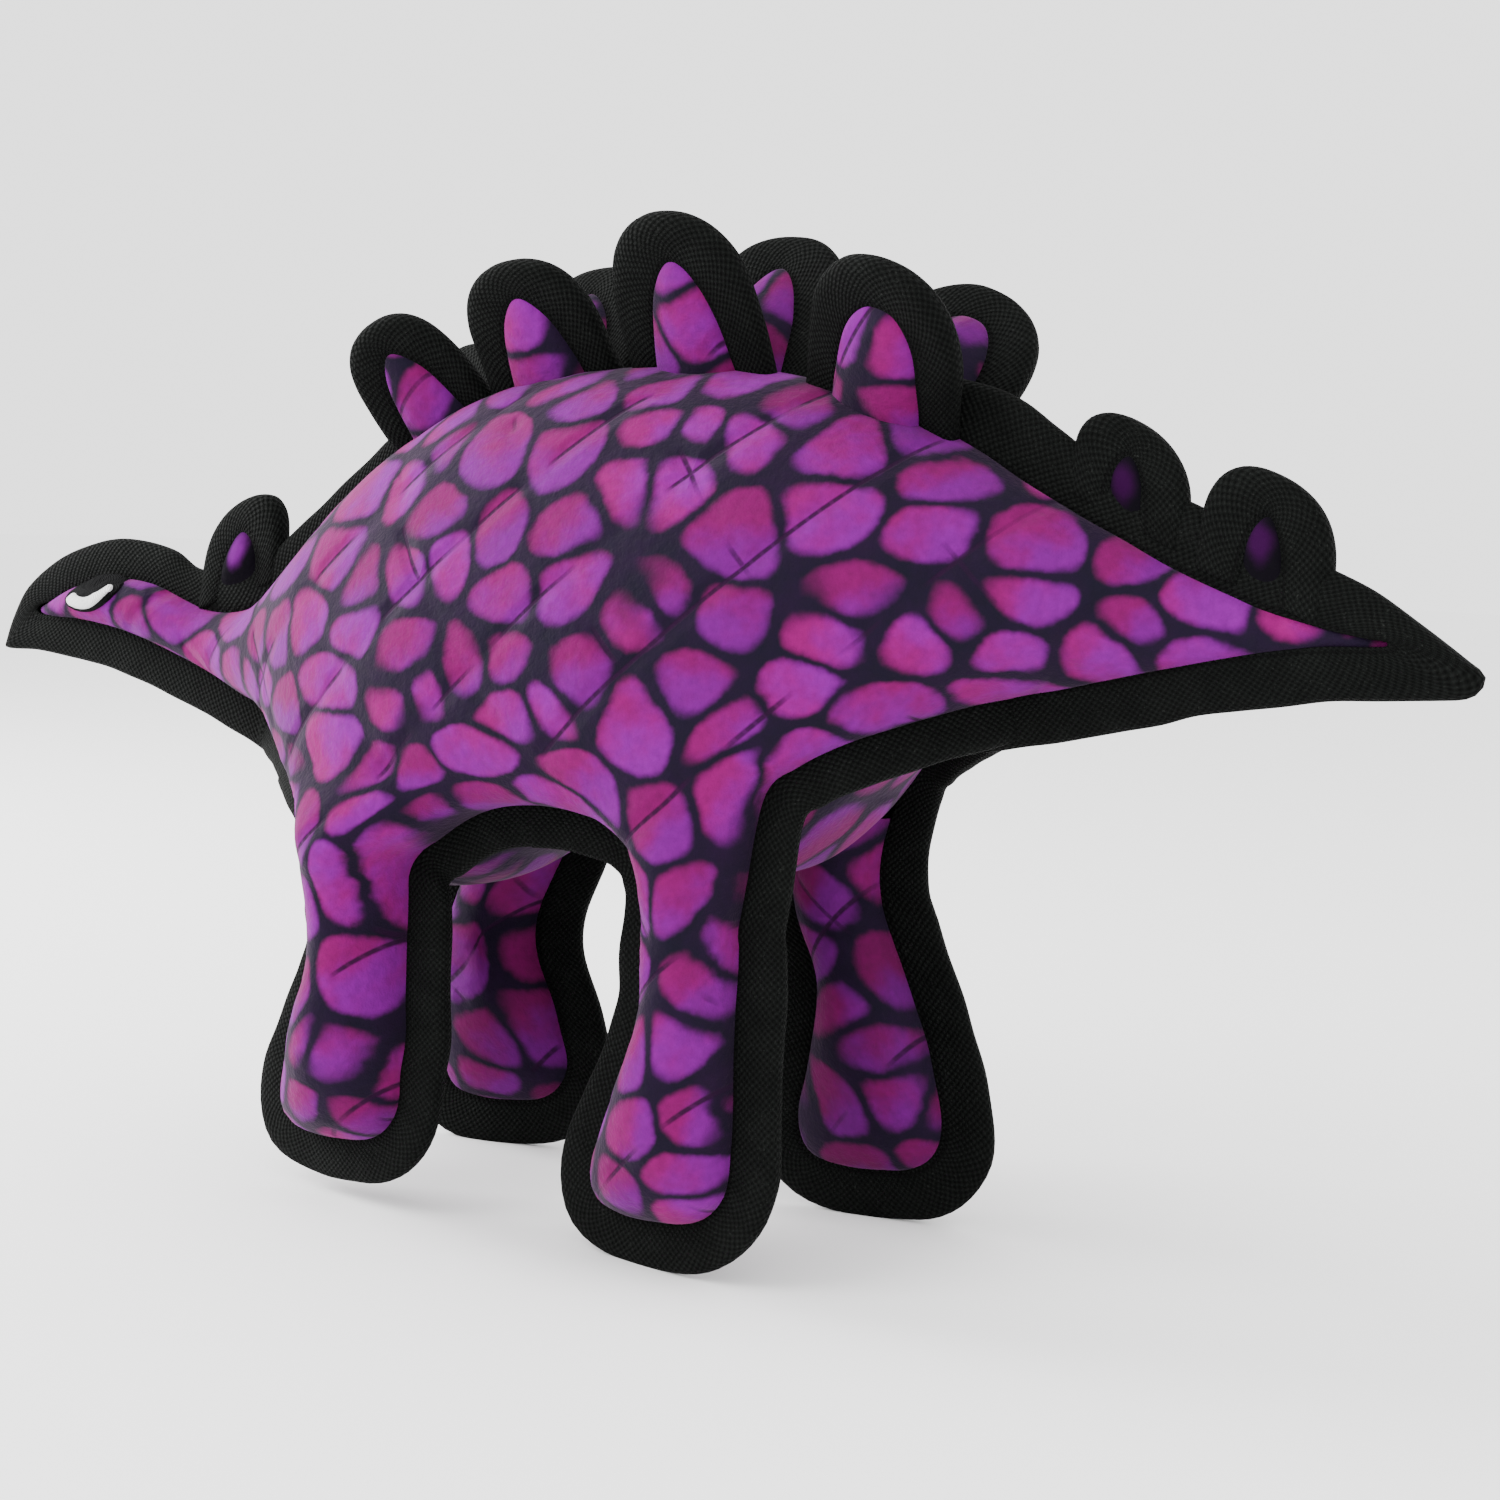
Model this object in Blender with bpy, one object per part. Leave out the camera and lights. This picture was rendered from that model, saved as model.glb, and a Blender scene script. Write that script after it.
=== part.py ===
"""Stuffed stegosaurus toy: quilted fleece side panels sewn edge to edge, every edge bound in folded webbing.

The toy faces -X and stands on four legs, +Z up, its left side towards -Y. The origin is the middle of its
footprint on the floor. Every number below is in millimetres, and MM turns it into Blender's metres.

The covers are thin sheets over solid wads of stuffing. Each seam stands out from the stuffing as a flat
fin of two cover edges, and a U-shaped webbing strip is folded over that fin. The neck, the tail and the
four legs flex where they meet the torso: each ends in a round face about its own axis, and the torso is
hollowed out to match.
"""

import math

import bmesh
import bpy
from mathutils import Vector

MM = 0.001

# Sheets and webbing
COVER = 1.6  # quilted laminate: fleece, canvas and backing
SEAM_GAP = 0.15  # from the seam's middle plane to each cover
FLANGE = 10.5  # flat cover edge inside the webbing
WEB_WIDTH = 13.5  # folded webbing, from the stitch line out
WEB_START = 1.3
WEB_HALF = 3.5
SLOT_HALF = 2.2
SLOT_END = 11.9
ARC_STEPS = 6

# Flexing places: an axis, the radius of the round face about it and the gap round that face
GAP = 0.5
WEBBING_GAP = 4.0
HIP_RADIUS = 28.0
HIP_INNER_Y = 25.0
NECK_AXIS_X, NECK_RADIUS = -126.0, 20.0
TAIL_AXIS_X, TAIL_RADIUS = 140.0, 21.0

# Legs: hip axis, and how far the foot stands ahead (-) of the hip or behind it (+) at rest
LEG_SEAM_Y = 44.0
LEGS = {
    "front_left": {"x": -51.0, "z": 98.0, "side": -1, "foot_shift": -9.0},
    "front_right": {"x": -51.0, "z": 98.0, "side": 1, "foot_shift": -17.0},
    "hind_left": {"x": 62.0, "z": 104.0, "side": -1, "foot_shift": -9.0},
    "hind_right": {"x": 62.0, "z": 104.0, "side": 1, "foot_shift": 10.0},
}
# Up the leg: share of the hip's height, half the width between seams, outer bulge, inner bulge
LEG_STATIONS = (
    (0.138, 9.0, 0.6, 0.6),
    (0.165, 16.0, 9.0, 5.0),
    (0.22, 20.5, 16.0, 9.5),
    (0.33, 22.5, 21.5, 12.5),
    (0.48, 20.5, 22.0, 12.0),
    (0.62, 16.0, 19.5, 11.0),
    (0.76, 14.0, 18.0, 10.5),
    (0.87, 16.5, 17.5, 11.0),
)
HIP_ANGLES = (-6.0, 14.0, 34.0, 54.0, 74.0)  # where the round thigh is sampled, from level
PLAIN_EDGE = 2.4  # flat edge of a cover where no webbing holds it
SOLE_SHARES = (0.2, 0.8)  # where the level sole starts and ends between the front and rear seams

# Back plates: place along the spine, width, height, outward lean in degrees and how far the tip sits behind
PLATES = (
    {"x": -57.0, "width": 36.0, "height": 37.0, "lean": 30.0, "tip_shift": 0.0},
    {"x": -15.0, "width": 43.0, "height": 41.0, "lean": 31.0, "tip_shift": 2.0},
    {"x": 34.0, "width": 47.0, "height": 51.0, "lean": 30.0, "tip_shift": 0.0},
    {"x": 89.0, "width": 48.0, "height": 52.0, "lean": 34.0, "tip_shift": -3.0},
)
PLATE_BASE_Y = 6.5
PLATE_THICKNESS = 6.0
PLATE_WEB = 11.5
PLATE_LIFT = 2.2  # base of a plate above the spine seam
SMALL_PLATE_LIFT = 1.2

# The torso's left seam, (x, z, half width) going round from the nape: spine, rump, belly, chest
SPINE = (
    (-119, 181, 1),
    (-100, 199, 0),
    (-80, 216, 0),
    (-56, 231, 0),
    (-30, 240.5, 0),
    (2, 245, 0),
    (34, 245, 0),
    (64, 241, 0),
    (92, 233, 0),
    (116, 224, 0),
    (133, 216, 1),
)
RUMP = ((133, 212, 9), (133, 203, 15), (133, 190, 17.5), (133, 176, 15), (133, 167, 9))
BELLY = (
    (133, 163, 3),
    (118, 156, 13),
    (103, 148, 26),
    (88, 136, 38),
    (62, 119, 44),
    (36, 118.5, 44),
    (12, 124.5, 44),
    (-12, 121, 44),
    (-30, 113.5, 44),
    (-51, 111, 44),
    (-74, 117, 42),
    (-92, 125, 32),
    (-108, 131, 18),
    (-119, 134, 5),
)
CHEST = ((-119, 138, 9), (-119, 146, 14.5), (-119, 158, 17), (-119, 170, 14.5), (-119, 177, 9))
TORSO_CENTRE = (2, 178)
TORSO_BULGE = 45.0
TORSO_MIDDLE_Y = 20.0
TORSO_RINGS = (0.94, 0.8, 0.55, 0.28)
BELLY_SAG = 17.0
BELLY_WEB_START, BELLY_WEB_END = 4.8, 14.5
BELLY_RUNS = {"rump_binding": (1, 5), "belly_binding": (4, 10), "chest_binding": (9, 13)}
FILL_SHRINK = 0.982
FILL_SHARES = (0.0, 0.25, 0.5, 0.75, 1.0)
FILL_MIDDLE = 0.0

# Head and neck: x, top seam, bottom seam, half thickness
HEAD_STATIONS = (
    (-235, 168.5, 162.3, 0.4),
    (-226, 171.5, 162.6, 6.0),
    (-213, 175.5, 162.3, 9.5),
    (-199, 177.3, 160.3, 11.5),
    (-184, 176.0, 156.5, 11.5),
    (-170, 172.5, 152.0, 12.0),
    (-154, 170.5, 146.5, 13.5),
    (-140, 171.8, 141.5, 15.5),
    (-127, 177.5, 136.5, 17.0),
    (-116, 186.0, 133.0, 17.0),
)
HEAD_TIP, HEAD_TIP_REACH = (-239.5, 164.0), (-253.0, 156.0)
# Tail: x, top seam, bottom seam, half thickness
TAIL_STATIONS = (
    (130, 217.0, 162.5, 17.5),
    (141, 213.5, 164.0, 18.0),
    (158, 206.0, 168.0, 14.5),
    (178, 197.0, 173.0, 10.5),
    (198, 190.5, 177.5, 6.5),
    (214, 186.5, 180.0, 3.0),
    (223, 184.8, 181.2, 0.4),
)
TAIL_TIP, TAIL_TIP_REACH = (227.0, 183.0), (253.0, 176.0)
# Small single plates that stand on the neck's and tail's webbing: base x, width, height, how far the tip leans
NECK_PLATE = {"x": -147.5, "width": 31.0, "height": 20.5, "lean": 4.0}
TAIL_PLATES = (
    {"x": 159.5, "width": 33.0, "height": 18.5, "lean": -2.0},
    {"x": 196.0, "width": 33.0, "height": 20.0, "lean": 0.0},
)

EYE_PLACE = (-203.0, 170.5)
EYE_HALF = (8.5, 4.6)
EYE_BACK_Y = 13.6  # clears the cheek's fullest point
EYE_THICKNESS = 1.2

SQUEAKER_PLACE = (0.0, 0.0, 152.0)
SQUEAKER_RADIUS = 23.0
SQUEAKER_HALF = 10.0
SQUEAKER_WALL = 1.2
REED_RADIUS = 4.2
POCKET_HALF = (23.8, 11.6)
POCKET_TOP = 175.8


def material(name, colour, roughness):
    found = bpy.data.materials.get(name)
    if found:
        return found
    made = bpy.data.materials.new(name)
    made.use_nodes = True
    shader = made.node_tree.nodes["Principled BSDF"]
    shader.inputs["Base Color"].default_value = (*colour, 1.0)
    shader.inputs["Roughness"].default_value = roughness
    shader.inputs["Metallic"].default_value = 0.0
    return made


def fleece():
    return material("purple_fleece", (0.36, 0.06, 0.40), 0.9)


def webbing():
    return material("black_webbing", (0.012, 0.012, 0.013), 0.8)


def stuffing():
    return material("polyester_stuffing", (0.85, 0.85, 0.83), 0.95)


def clear_scene():
    for obj in list(bpy.data.objects):
        bpy.data.objects.remove(obj)


def add_mesh(name, points, faces, surface, outward=None):
    """A mesh object from millimetre points. A closed mesh gets its normals out, an open one faces outward."""
    mesh = bpy.data.meshes.new(name)
    mesh.from_pydata([Vector(p) * MM for p in points], [], faces)
    shape = bmesh.new()
    shape.from_mesh(mesh)
    bmesh.ops.remove_doubles(shape, verts=shape.verts, dist=1e-6)
    bmesh.ops.recalc_face_normals(shape, faces=shape.faces)
    if outward is None:
        inside_out = shape.calc_volume(signed=True) < 0
    else:
        facing = sum((f.normal * f.calc_area() for f in shape.faces), Vector())
        inside_out = facing.dot(outward) < 0
    if inside_out:
        bmesh.ops.reverse_faces(shape, faces=shape.faces)
    shape.to_mesh(mesh)
    shape.free()
    mesh.materials.append(surface)
    obj = bpy.data.objects.new(name, mesh)
    bpy.context.scene.collection.objects.link(obj)
    return obj


def thicken(obj, thickness=COVER):
    solid = obj.modifiers.new("thickness", "SOLIDIFY")
    solid.thickness = thickness * MM
    solid.offset = 1.0
    return obj


def cut(obj, cutters):
    for cutter in cutters:
        boolean = obj.modifiers.new("cut_" + cutter.name, "BOOLEAN")
        boolean.operation = "DIFFERENCE"
        boolean.solver = "EXACT"
        boolean.object = cutter
    return obj


def as_cutter(obj):
    obj.hide_render = True
    obj.display_type = "WIRE"
    return obj


def grid_faces(rows):
    """Quads between neighbouring rows of equal length, and their points in one list."""
    width = len(rows[0])
    points = [p for row in rows for p in row]
    faces = []
    for i in range(len(rows) - 1):
        for j in range(width - 1):
            a = i * width + j
            corners = []
            for k in (a, a + 1, a + width + 1, a + width):
                if all((points[k] - points[n]).length > 1e-4 for n in corners):
                    corners.append(k)
            if len(corners) > 2:
                faces.append(tuple(corners))
    return points, faces


def halved(face, second_diagonal=False):
    """A quad as two triangles, so that sheets sewn along one seam fold along the same lines."""
    if len(face) != 4:
        return [face]
    a, b, c, d = face
    return [(a, b, d), (b, c, d)] if second_diagonal else [(a, b, c), (a, c, d)]


def loft(name, rings, surface):
    """A closed solid through rings of equal length, with flat ends."""
    count = len(rings[0])
    points = [p for ring in rings for p in ring]
    faces = [tuple(range(count)), tuple(range(len(points) - count, len(points)))]
    for i in range(len(rings) - 1):
        for j in range(count):
            k = (j + 1) % count
            faces.append((i * count + j, i * count + k, (i + 1) * count + k, (i + 1) * count + j))
    return add_mesh(name, points, faces, surface)


def arc_row(start, end, bulge, steps=ARC_STEPS):
    """Points of a half ellipse from one seam point to the other, standing out by the bulge vector."""
    middle = (start + end) / 2
    half = (start - end) / 2
    row = []
    for i in range(steps + 1):
        turn = math.pi * i / steps
        row.append(middle + half * math.cos(turn) + bulge * math.sin(turn))
    return row


def side_normals(points, across):
    """Directions square to a path and to the across vector: up for a path along +X when across is -Y."""
    normals = []
    for i, here in enumerate(points):
        before = points[max(i - 1, 0)]
        after = points[min(i + 1, len(points) - 1)]
        normals.append(across.cross(after - before).normalized())
    return normals


def webbing_strip(name, path, outward, start=WEB_START, width=WEB_WIDTH):
    """Webbing folded over a seam's fin: a U-shaped section swept along the stitch line."""
    section = (
        (-WEB_HALF, start),
        (-WEB_HALF, width),
        (WEB_HALF, width),
        (WEB_HALF, start),
        (SLOT_HALF, start),
        (SLOT_HALF, width - WEB_WIDTH + SLOT_END),
        (-SLOT_HALF, width - WEB_WIDTH + SLOT_END),
        (-SLOT_HALF, start),
    )
    rings = []
    for i, here in enumerate(path):
        along = path[min(i + 1, len(path) - 1)] - path[max(i - 1, 0)]
        side = along.cross(outward[i]).normalized()
        rings.append([here + side * b + outward[i] * n for b, n in section])
    return loft(name, rings, webbing())


def cylinder(name, radius, start, end, sides=48):
    """A closed cylinder between two points, used as a cutter."""
    axis = (end - start).normalized()
    first = axis.orthogonal().normalized()
    second = axis.cross(first)
    rings = []
    for centre in (start, end):
        turns = (2 * math.pi * i / sides for i in range(sides))
        rings.append([centre + (first * math.cos(t) + second * math.sin(t)) * radius for t in turns])
    return as_cutter(loft(name, rings, stuffing()))


# Legs


def leg_centre_x(leg, z):
    return leg["x"] + leg["foot_shift"] * max(1 - z / leg["z"], 0.0)


def leg_rows(leg):
    """(z, half width, outer bulge, inner bulge) from the sole to the top of the round thigh."""
    rows = [(share * leg["z"], half, outer, inner) for share, half, outer, inner in LEG_STATIONS]
    rows[0] = (WEB_WIDTH, *rows[0][1:])
    for angle in HIP_ANGLES:
        turn = math.radians(angle)
        reach = HIP_RADIUS - PLAIN_EDGE - 0.2
        bulge = 17.0 - 4.0 * math.sin(turn)
        rows.append((leg["z"] + reach * math.sin(turn), reach * math.cos(turn), bulge, 11.0))
    return rows


def leg_seam(leg, y):
    """The seam from the top of the thigh down the front, under the sole and up the rear, and its outward sides."""
    rows = leg_rows(leg)
    front = [Vector((leg_centre_x(leg, z) - half, y, z)) for z, half, _, _ in rows]
    rear = [Vector((leg_centre_x(leg, z) + half, y, z)) for z, half, _, _ in rows]
    sole = [front[0].lerp(rear[0], share) for share in SOLE_SHARES]
    path = front[::-1] + sole + rear
    outward = side_normals(path, Vector((0, 1, 0)))
    for i in (len(rows), len(rows) + 1):
        outward[i] = Vector((0, 0, -1))
    return path, outward


def leg_cover(name, leg, outer):
    """One of the two panels of a leg, with the flat edges that the webbing holds."""
    towards = leg["side"] if outer else -leg["side"]
    path, outward = leg_seam(leg, leg["side"] * LEG_SEAM_Y + towards * SEAM_GAP)
    table = leg_rows(leg)
    count = len(table)
    rows = []
    for i, (_, _, outer_bulge, inner_bulge) in enumerate(table):
        bulge = Vector((0, towards * (outer_bulge if outer else inner_bulge), 0))
        edge = FLANGE if i < len(LEG_STATIONS) else PLAIN_EDGE
        front, rear = count - 1 - i, count + 2 + i
        arc = arc_row(path[front], path[rear], bulge)
        rows.append([path[front] + outward[front] * edge, *arc, path[rear] + outward[rear] * edge])
    first, last = (path[i] + outward[i] * FLANGE for i in (count, count + 1))
    middle = [first.lerp(last, i / ARC_STEPS) for i in range(ARC_STEPS + 1)]
    rows.insert(0, [rows[0][0], *middle, rows[0][-1]])
    points, faces = grid_faces(rows)
    return thicken(add_mesh(name, points, faces, fleece(), Vector((0, towards, 0))))


def leg_fill(name, leg):
    y = leg["side"] * LEG_SEAM_Y
    rings = []
    for z, half, outer_bulge, inner_bulge in leg_rows(leg):
        centre = leg_centre_x(leg, z)
        front, rear = Vector((centre - half + 1.2, y, z)), Vector((centre + half - 1.2, y, z))
        outer = arc_row(front, rear, Vector((0, leg["side"] * max(outer_bulge - 0.9, 0.3), 0)))
        inner = arc_row(rear, front, Vector((0, -leg["side"] * max(inner_bulge - 0.9, 0.3), 0)))
        rings.append(outer[:-1] + inner[:-1])
    for point in rings[0]:
        point.z += 1.0
    return loft(name, rings, stuffing())


def leg_binding(name, leg):
    """The webbing round a leg, from the hip down the front, round the sole and up the rear."""
    path, outward = leg_seam(leg, leg["side"] * LEG_SEAM_Y)
    plain = len(HIP_ANGLES)
    return webbing_strip(name, path[plain:-plain], outward[plain:-plain])


def build_leg(place, leg):
    leg_cover(f"leg_{place}_outer_cover", leg, outer=True)
    leg_cover(f"leg_{place}_inner_cover", leg, outer=False)
    leg_fill(f"leg_{place}_stuffing", leg)
    leg_binding(f"leg_{place}_binding", leg)


# Head and tail


def lens_stations(stations, y):
    """Top and bottom seam points of each station."""
    top = [Vector((x, y, high)) for x, high, _, _ in stations]
    bottom = [Vector((x, y, low)) for x, _, low, _ in stations]
    return top, bottom


def lens_seam(stations, y, tip, tip_reach):
    """The seam in one length round the tip, with the places of the top and bottom points in it."""
    top, bottom = lens_stations(stations, y)
    tip_point = Vector((tip[0], y, tip[1]))
    count = len(stations)
    if tip[0] < 0:
        path = [*top[::-1], tip_point, *bottom]
        places = [(count - 1 - i, count + 1 + i) for i in range(count)]
    else:
        path = [*bottom, tip_point, *top[::-1]]
        places = [(2 * count - i, i) for i in range(count)]
    outward = side_normals(path, Vector((0, 1, 0)))
    outward[count] = (Vector((tip_reach[0], y, tip_reach[1])) - tip_point) / WEB_WIDTH
    return path, outward, places


def lens_cover(name, stations, side, tip, tip_reach):
    """A side panel of the head or the tail, with flat edges all round but at the flexing end."""
    path, outward, places = lens_seam(stations, side * SEAM_GAP, tip, tip_reach)
    rows = []
    for (high, low), (_, _, _, half) in zip(places, stations):
        arc = arc_row(path[high], path[low], Vector((0, side * half, 0)))
        rows.append([path[high] + outward[high] * FLANGE, *arc, path[low] + outward[low] * FLANGE])
    at_front = tip[0] < 0
    nearest = rows[0] if at_front else rows[-1]
    point = path[len(stations)] + outward[len(stations)] * FLANGE
    rows.insert(0 if at_front else len(rows), [nearest[0], *[point] * (ARC_STEPS + 1), nearest[-1]])
    points, faces = grid_faces(rows)
    return thicken(add_mesh(name, points, faces, fleece(), Vector((0, side, 0))))


def lens_fill(name, stations):
    rings = []
    for x, high, low, half in stations:
        top, bottom = Vector((x, 0, high - 0.8)), Vector((x, 0, low + 0.8))
        left = arc_row(top, bottom, Vector((0, -max(half - 0.9, 0.3), 0)))
        right = arc_row(bottom, top, Vector((0, max(half - 0.9, 0.3), 0)))
        rings.append(left[:-1] + right[:-1])
    return loft(name, rings, stuffing())


def lens_binding(name, stations, tip, tip_reach):
    """Webbing in one length along one seam of the head or tail, round the tip and back along the other."""
    path, outward, _ = lens_seam(stations, 0.0, tip, tip_reach)
    return webbing_strip(name, path, outward)


def small_plate(name, plate, stations):
    """A single bound plate that stands on the webbing of the neck or tail."""
    reach = plate["width"] / 2
    front, rear = (seam_height(stations, plate["x"] + share * reach) for share in (-1, 1))
    along = Vector((2 * reach, 0, rear - front)).normalized()
    clear = WEB_WIDTH + SMALL_PLATE_LIFT
    origin = Vector((plate["x"] - along.z * clear, 0, (front + rear) / 2 + along.x * clear))
    up = Vector((plate["lean"] / plate["height"], 0, 1))
    outline = leaf_outline(plate["width"], plate["height"], 0.8)
    return plate_slab(name, outline, origin, along, up, PLATE_THICKNESS, webbing())


def seam_height(stations, x):
    """The top seam's height at x, read between stations."""
    for before, after in zip(stations, stations[1:]):
        if before[0] <= x <= after[0]:
            share = (x - before[0]) / (after[0] - before[0])
            return before[1] + share * (after[1] - before[1])
    raise ValueError("x is off the seam")


# Back plates


def leaf_outline(width, height, base_share):
    """A leaf's outline, from its right foot over the tip to its left foot: (across, up)."""
    right = []
    for i in range(7):
        up = i / 6
        swell = base_share + (1 - base_share) * math.sin(math.pi * min(up / 0.8, 1.0) / 2)
        closing = math.sqrt(max(1 - (max(up - 0.4, 0) / 0.6) ** 2, 0.0))
        right.append((width / 2 * swell * closing, height * up))
    right[-1] = (0.0, height)
    return right + [(-across, up) for across, up in reversed(right[:-1])]


def plate_slab(name, outline, origin, along, up, thickness, surface):
    """An outline in the plate's own plane, as a flat slab."""
    across = along.cross(up).normalized()
    rings = []
    for offset in (-thickness / 2, thickness / 2):
        rings.append([origin + along * a + up * b + across * offset for a, b in outline])
    return loft(name, rings, surface)


def spine_frame(x):
    """A point of the spine seam and the seam's direction there."""
    for before, after in zip(SPINE, SPINE[1:]):
        if before[0] <= x <= after[0]:
            share = (x - before[0]) / (after[0] - before[0])
            point = Vector((x, 0, before[1] + share * (after[1] - before[1])))
            return point, Vector((after[0] - before[0], 0, after[1] - before[1])).normalized()
    raise ValueError("x is off the spine")


def build_back_plate(number, plate, side, side_name):
    """A fleece pad and the horseshoe of webbing folded over its edge."""
    point, along = spine_frame(plate["x"])
    normal = Vector((-along.z, 0, along.x))
    lean = math.radians(plate["lean"])
    up = normal * math.cos(lean) + Vector((0, side, 0)) * math.sin(lean)
    up += along * (plate["tip_shift"] / plate["height"])
    origin = point + normal * PLATE_LIFT + Vector((0, side * PLATE_BASE_Y, 0))
    outer = leaf_outline(plate["width"], plate["height"], 0.8)
    inner = leaf_outline(plate["width"] - 2 * PLATE_WEB, plate["height"] - PLATE_WEB, 0.8)
    pad = leaf_outline(plate["width"] - 2 * PLATE_WEB - 0.6, plate["height"] - PLATE_WEB - 0.4, 0.8)
    name = f"{side_name}_{number}"
    plate_slab(f"back_plate_{name}", pad, origin, along, up, PLATE_THICKNESS + 1.0, fleece())
    horseshoe = outer + inner[::-1]
    plate_slab(f"back_plate_binding_{name}", horseshoe, origin, along, up, PLATE_THICKNESS, webbing())


# Torso


def torso_loop(side):
    """The torso panel's edge, as points and outward directions, with how wide its flat edge is."""
    loop = [*SPINE, *RUMP, *BELLY, *CHEST]
    plain = range(len(SPINE), len(SPINE) + len(RUMP))
    chest = range(len(loop) - len(CHEST), len(loop))
    points, outward, edges = [], [], []
    for i, (x, z, half) in enumerate(loop):
        before, after = loop[i - 1], loop[(i + 1) % len(loop)]
        slope = Vector((before[1] - after[1], 0, after[0] - before[0])).normalized()
        splay = Vector((0, side * 0.3 * half / LEG_SEAM_Y, 0))
        points.append(Vector((x, side * (half + SEAM_GAP), z)))
        outward.append((slope + splay).normalized())
        edges.append(PLAIN_EDGE if i in plain or i in chest else FLANGE)
    return points, outward, edges


def torso_ring(points, share, side):
    """The panel's edge drawn in to a share of its size and bulged out, as a smaller ring of the same panel."""
    ring = []
    for p in points:
        x = TORSO_CENTRE[0] + (p.x - TORSO_CENTRE[0]) * share
        z = TORSO_CENTRE[1] + (p.z - TORSO_CENTRE[1]) * share
        seam = abs(p.y) * share + TORSO_MIDDLE_Y * (1 - share)
        bulge = TORSO_BULGE * math.sqrt(1 - share * share)
        ring.append(Vector((x, side * (seam + bulge), z)))
    return ring


def torso_cover(name, side):
    points, outward, edges = torso_loop(side)
    rings = [[p + n * e for p, n, e in zip(points, outward, edges)], points]
    rings += [torso_ring(points, share, side) for share in TORSO_RINGS]
    centre = Vector((TORSO_CENTRE[0], side * (TORSO_MIDDLE_Y + TORSO_BULGE), TORSO_CENTRE[1]))
    count = len(points)
    verts = [p for ring in rings for p in ring] + [centre]
    faces = []
    for i in range(len(rings) - 1):
        for j in range(count):
            k = (j + 1) % count
            faces += halved((i * count + j, i * count + k, (i + 1) * count + k, (i + 1) * count + j))
    last = (len(rings) - 1) * count
    for j in range(count):
        faces.append((last + j, last + (j + 1) % count, len(verts) - 1))
    return thicken(add_mesh(name, verts, faces, fleece(), Vector((0, side, 0))))


def belly_points(side):
    """The belly's seam on one side, rump to chest, as loop points and outward directions."""
    points, outward, _ = torso_loop(side)
    first = len(SPINE) + len(RUMP)
    return points[first : first + len(BELLY)], outward[first : first + len(BELLY)]


def belly_sag(point, seam, share):
    """The point let down by the belly's sag, which is fullest halfway across and between the legs."""
    sag = BELLY_SAG * min(abs(seam.y) / LEG_SEAM_Y, 1.0)
    return point - Vector((0, 0, sag * math.sin(math.pi * share)))


def belly_gusset(name):
    left, left_out = belly_points(-1)
    right, right_out = belly_points(1)
    rows = []
    for i in range(len(left)):
        inward = Vector((0, 2 * SEAM_GAP, 0))
        start, end = left[i] + inward, right[i] - inward
        arc = [belly_sag(start.lerp(end, share / ARC_STEPS), left[i], share / ARC_STEPS) for share in range(ARC_STEPS + 1)]
        rows.append([start + left_out[i] * FLANGE, *arc, end + right_out[i] * FLANGE])
    points, quads = grid_faces(rows[1:-1])
    width = len(rows[0])
    faces = []
    for quad in quads:
        faces += halved(quad, second_diagonal=quad[0] % width >= width // 2)
    return thicken(add_mesh(name, points, faces, fleece(), Vector((0, 0, -1))))


def torso_fill(name):
    """The torso's stuffing: both side bulges and the belly as one closed wad, a little inside the covers."""
    left, right = torso_loop(-1)[0], torso_loop(1)[0]
    first = len(SPINE) + len(RUMP)
    shares = (*TORSO_RINGS, FILL_MIDDLE)
    rings = [[fill_point(p) for p in torso_ring(left, share, -1)] for share in shares[::-1]]
    for share in FILL_SHARES:
        ring = []
        for j, (start, end) in enumerate(zip(left, right)):
            point = fill_point(start).lerp(fill_point(end), share)
            if first <= j < first + len(BELLY):
                point = belly_sag(point, start, share) + Vector((0, 0, 1.5))
            ring.append(point)
        rings.append(ring)
    rings += [[fill_point(p) for p in torso_ring(right, share, 1)] for share in shares]
    return loft(name, rings, stuffing())


def fill_point(point):
    """A cover point drawn in towards the torso's middle."""
    x = TORSO_CENTRE[0] + (point.x - TORSO_CENTRE[0]) * FILL_SHRINK
    z = TORSO_CENTRE[1] + (point.z - TORSO_CENTRE[1]) * FILL_SHRINK
    return Vector((x, math.copysign(max(abs(point.y) - 1.4, 1.0), point.y), z))


def squeaker_pocket():
    """The slot in the stuffing that the squeaker is pushed into from the belly."""
    x, y, _ = SQUEAKER_PLACE
    bottom = 80.0
    rings = []
    for z in (bottom, POCKET_TOP):
        rings.append(
            [
                Vector((x + sx * POCKET_HALF[0], y + sy * POCKET_HALF[1], z))
                for sx, sy in ((-1, -1), (1, -1), (1, 1), (-1, 1))
            ]
        )
    return as_cutter(loft("squeaker_pocket", rings, stuffing()))


def turned(name, profile, centre, surface, steps=16):
    """A closed profile of (radius, along Y) spun about the Y axis."""
    rings = []
    for i in range(steps):
        turn = 2 * math.pi * i / steps
        spoke = Vector((math.cos(turn), 0, math.sin(turn)))
        rings.append([centre + spoke * r + Vector((0, a, 0)) for r, a in profile])
    count = len(profile)
    points = [p for ring in rings for p in ring]
    faces = []
    for i in range(steps):
        for j in range(count):
            k, n = (j + 1) % count, (i + 1) % steps
            faces.append((i * count + j, i * count + k, n * count + k, n * count + j))
    return add_mesh(name, points, faces, surface)


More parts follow.
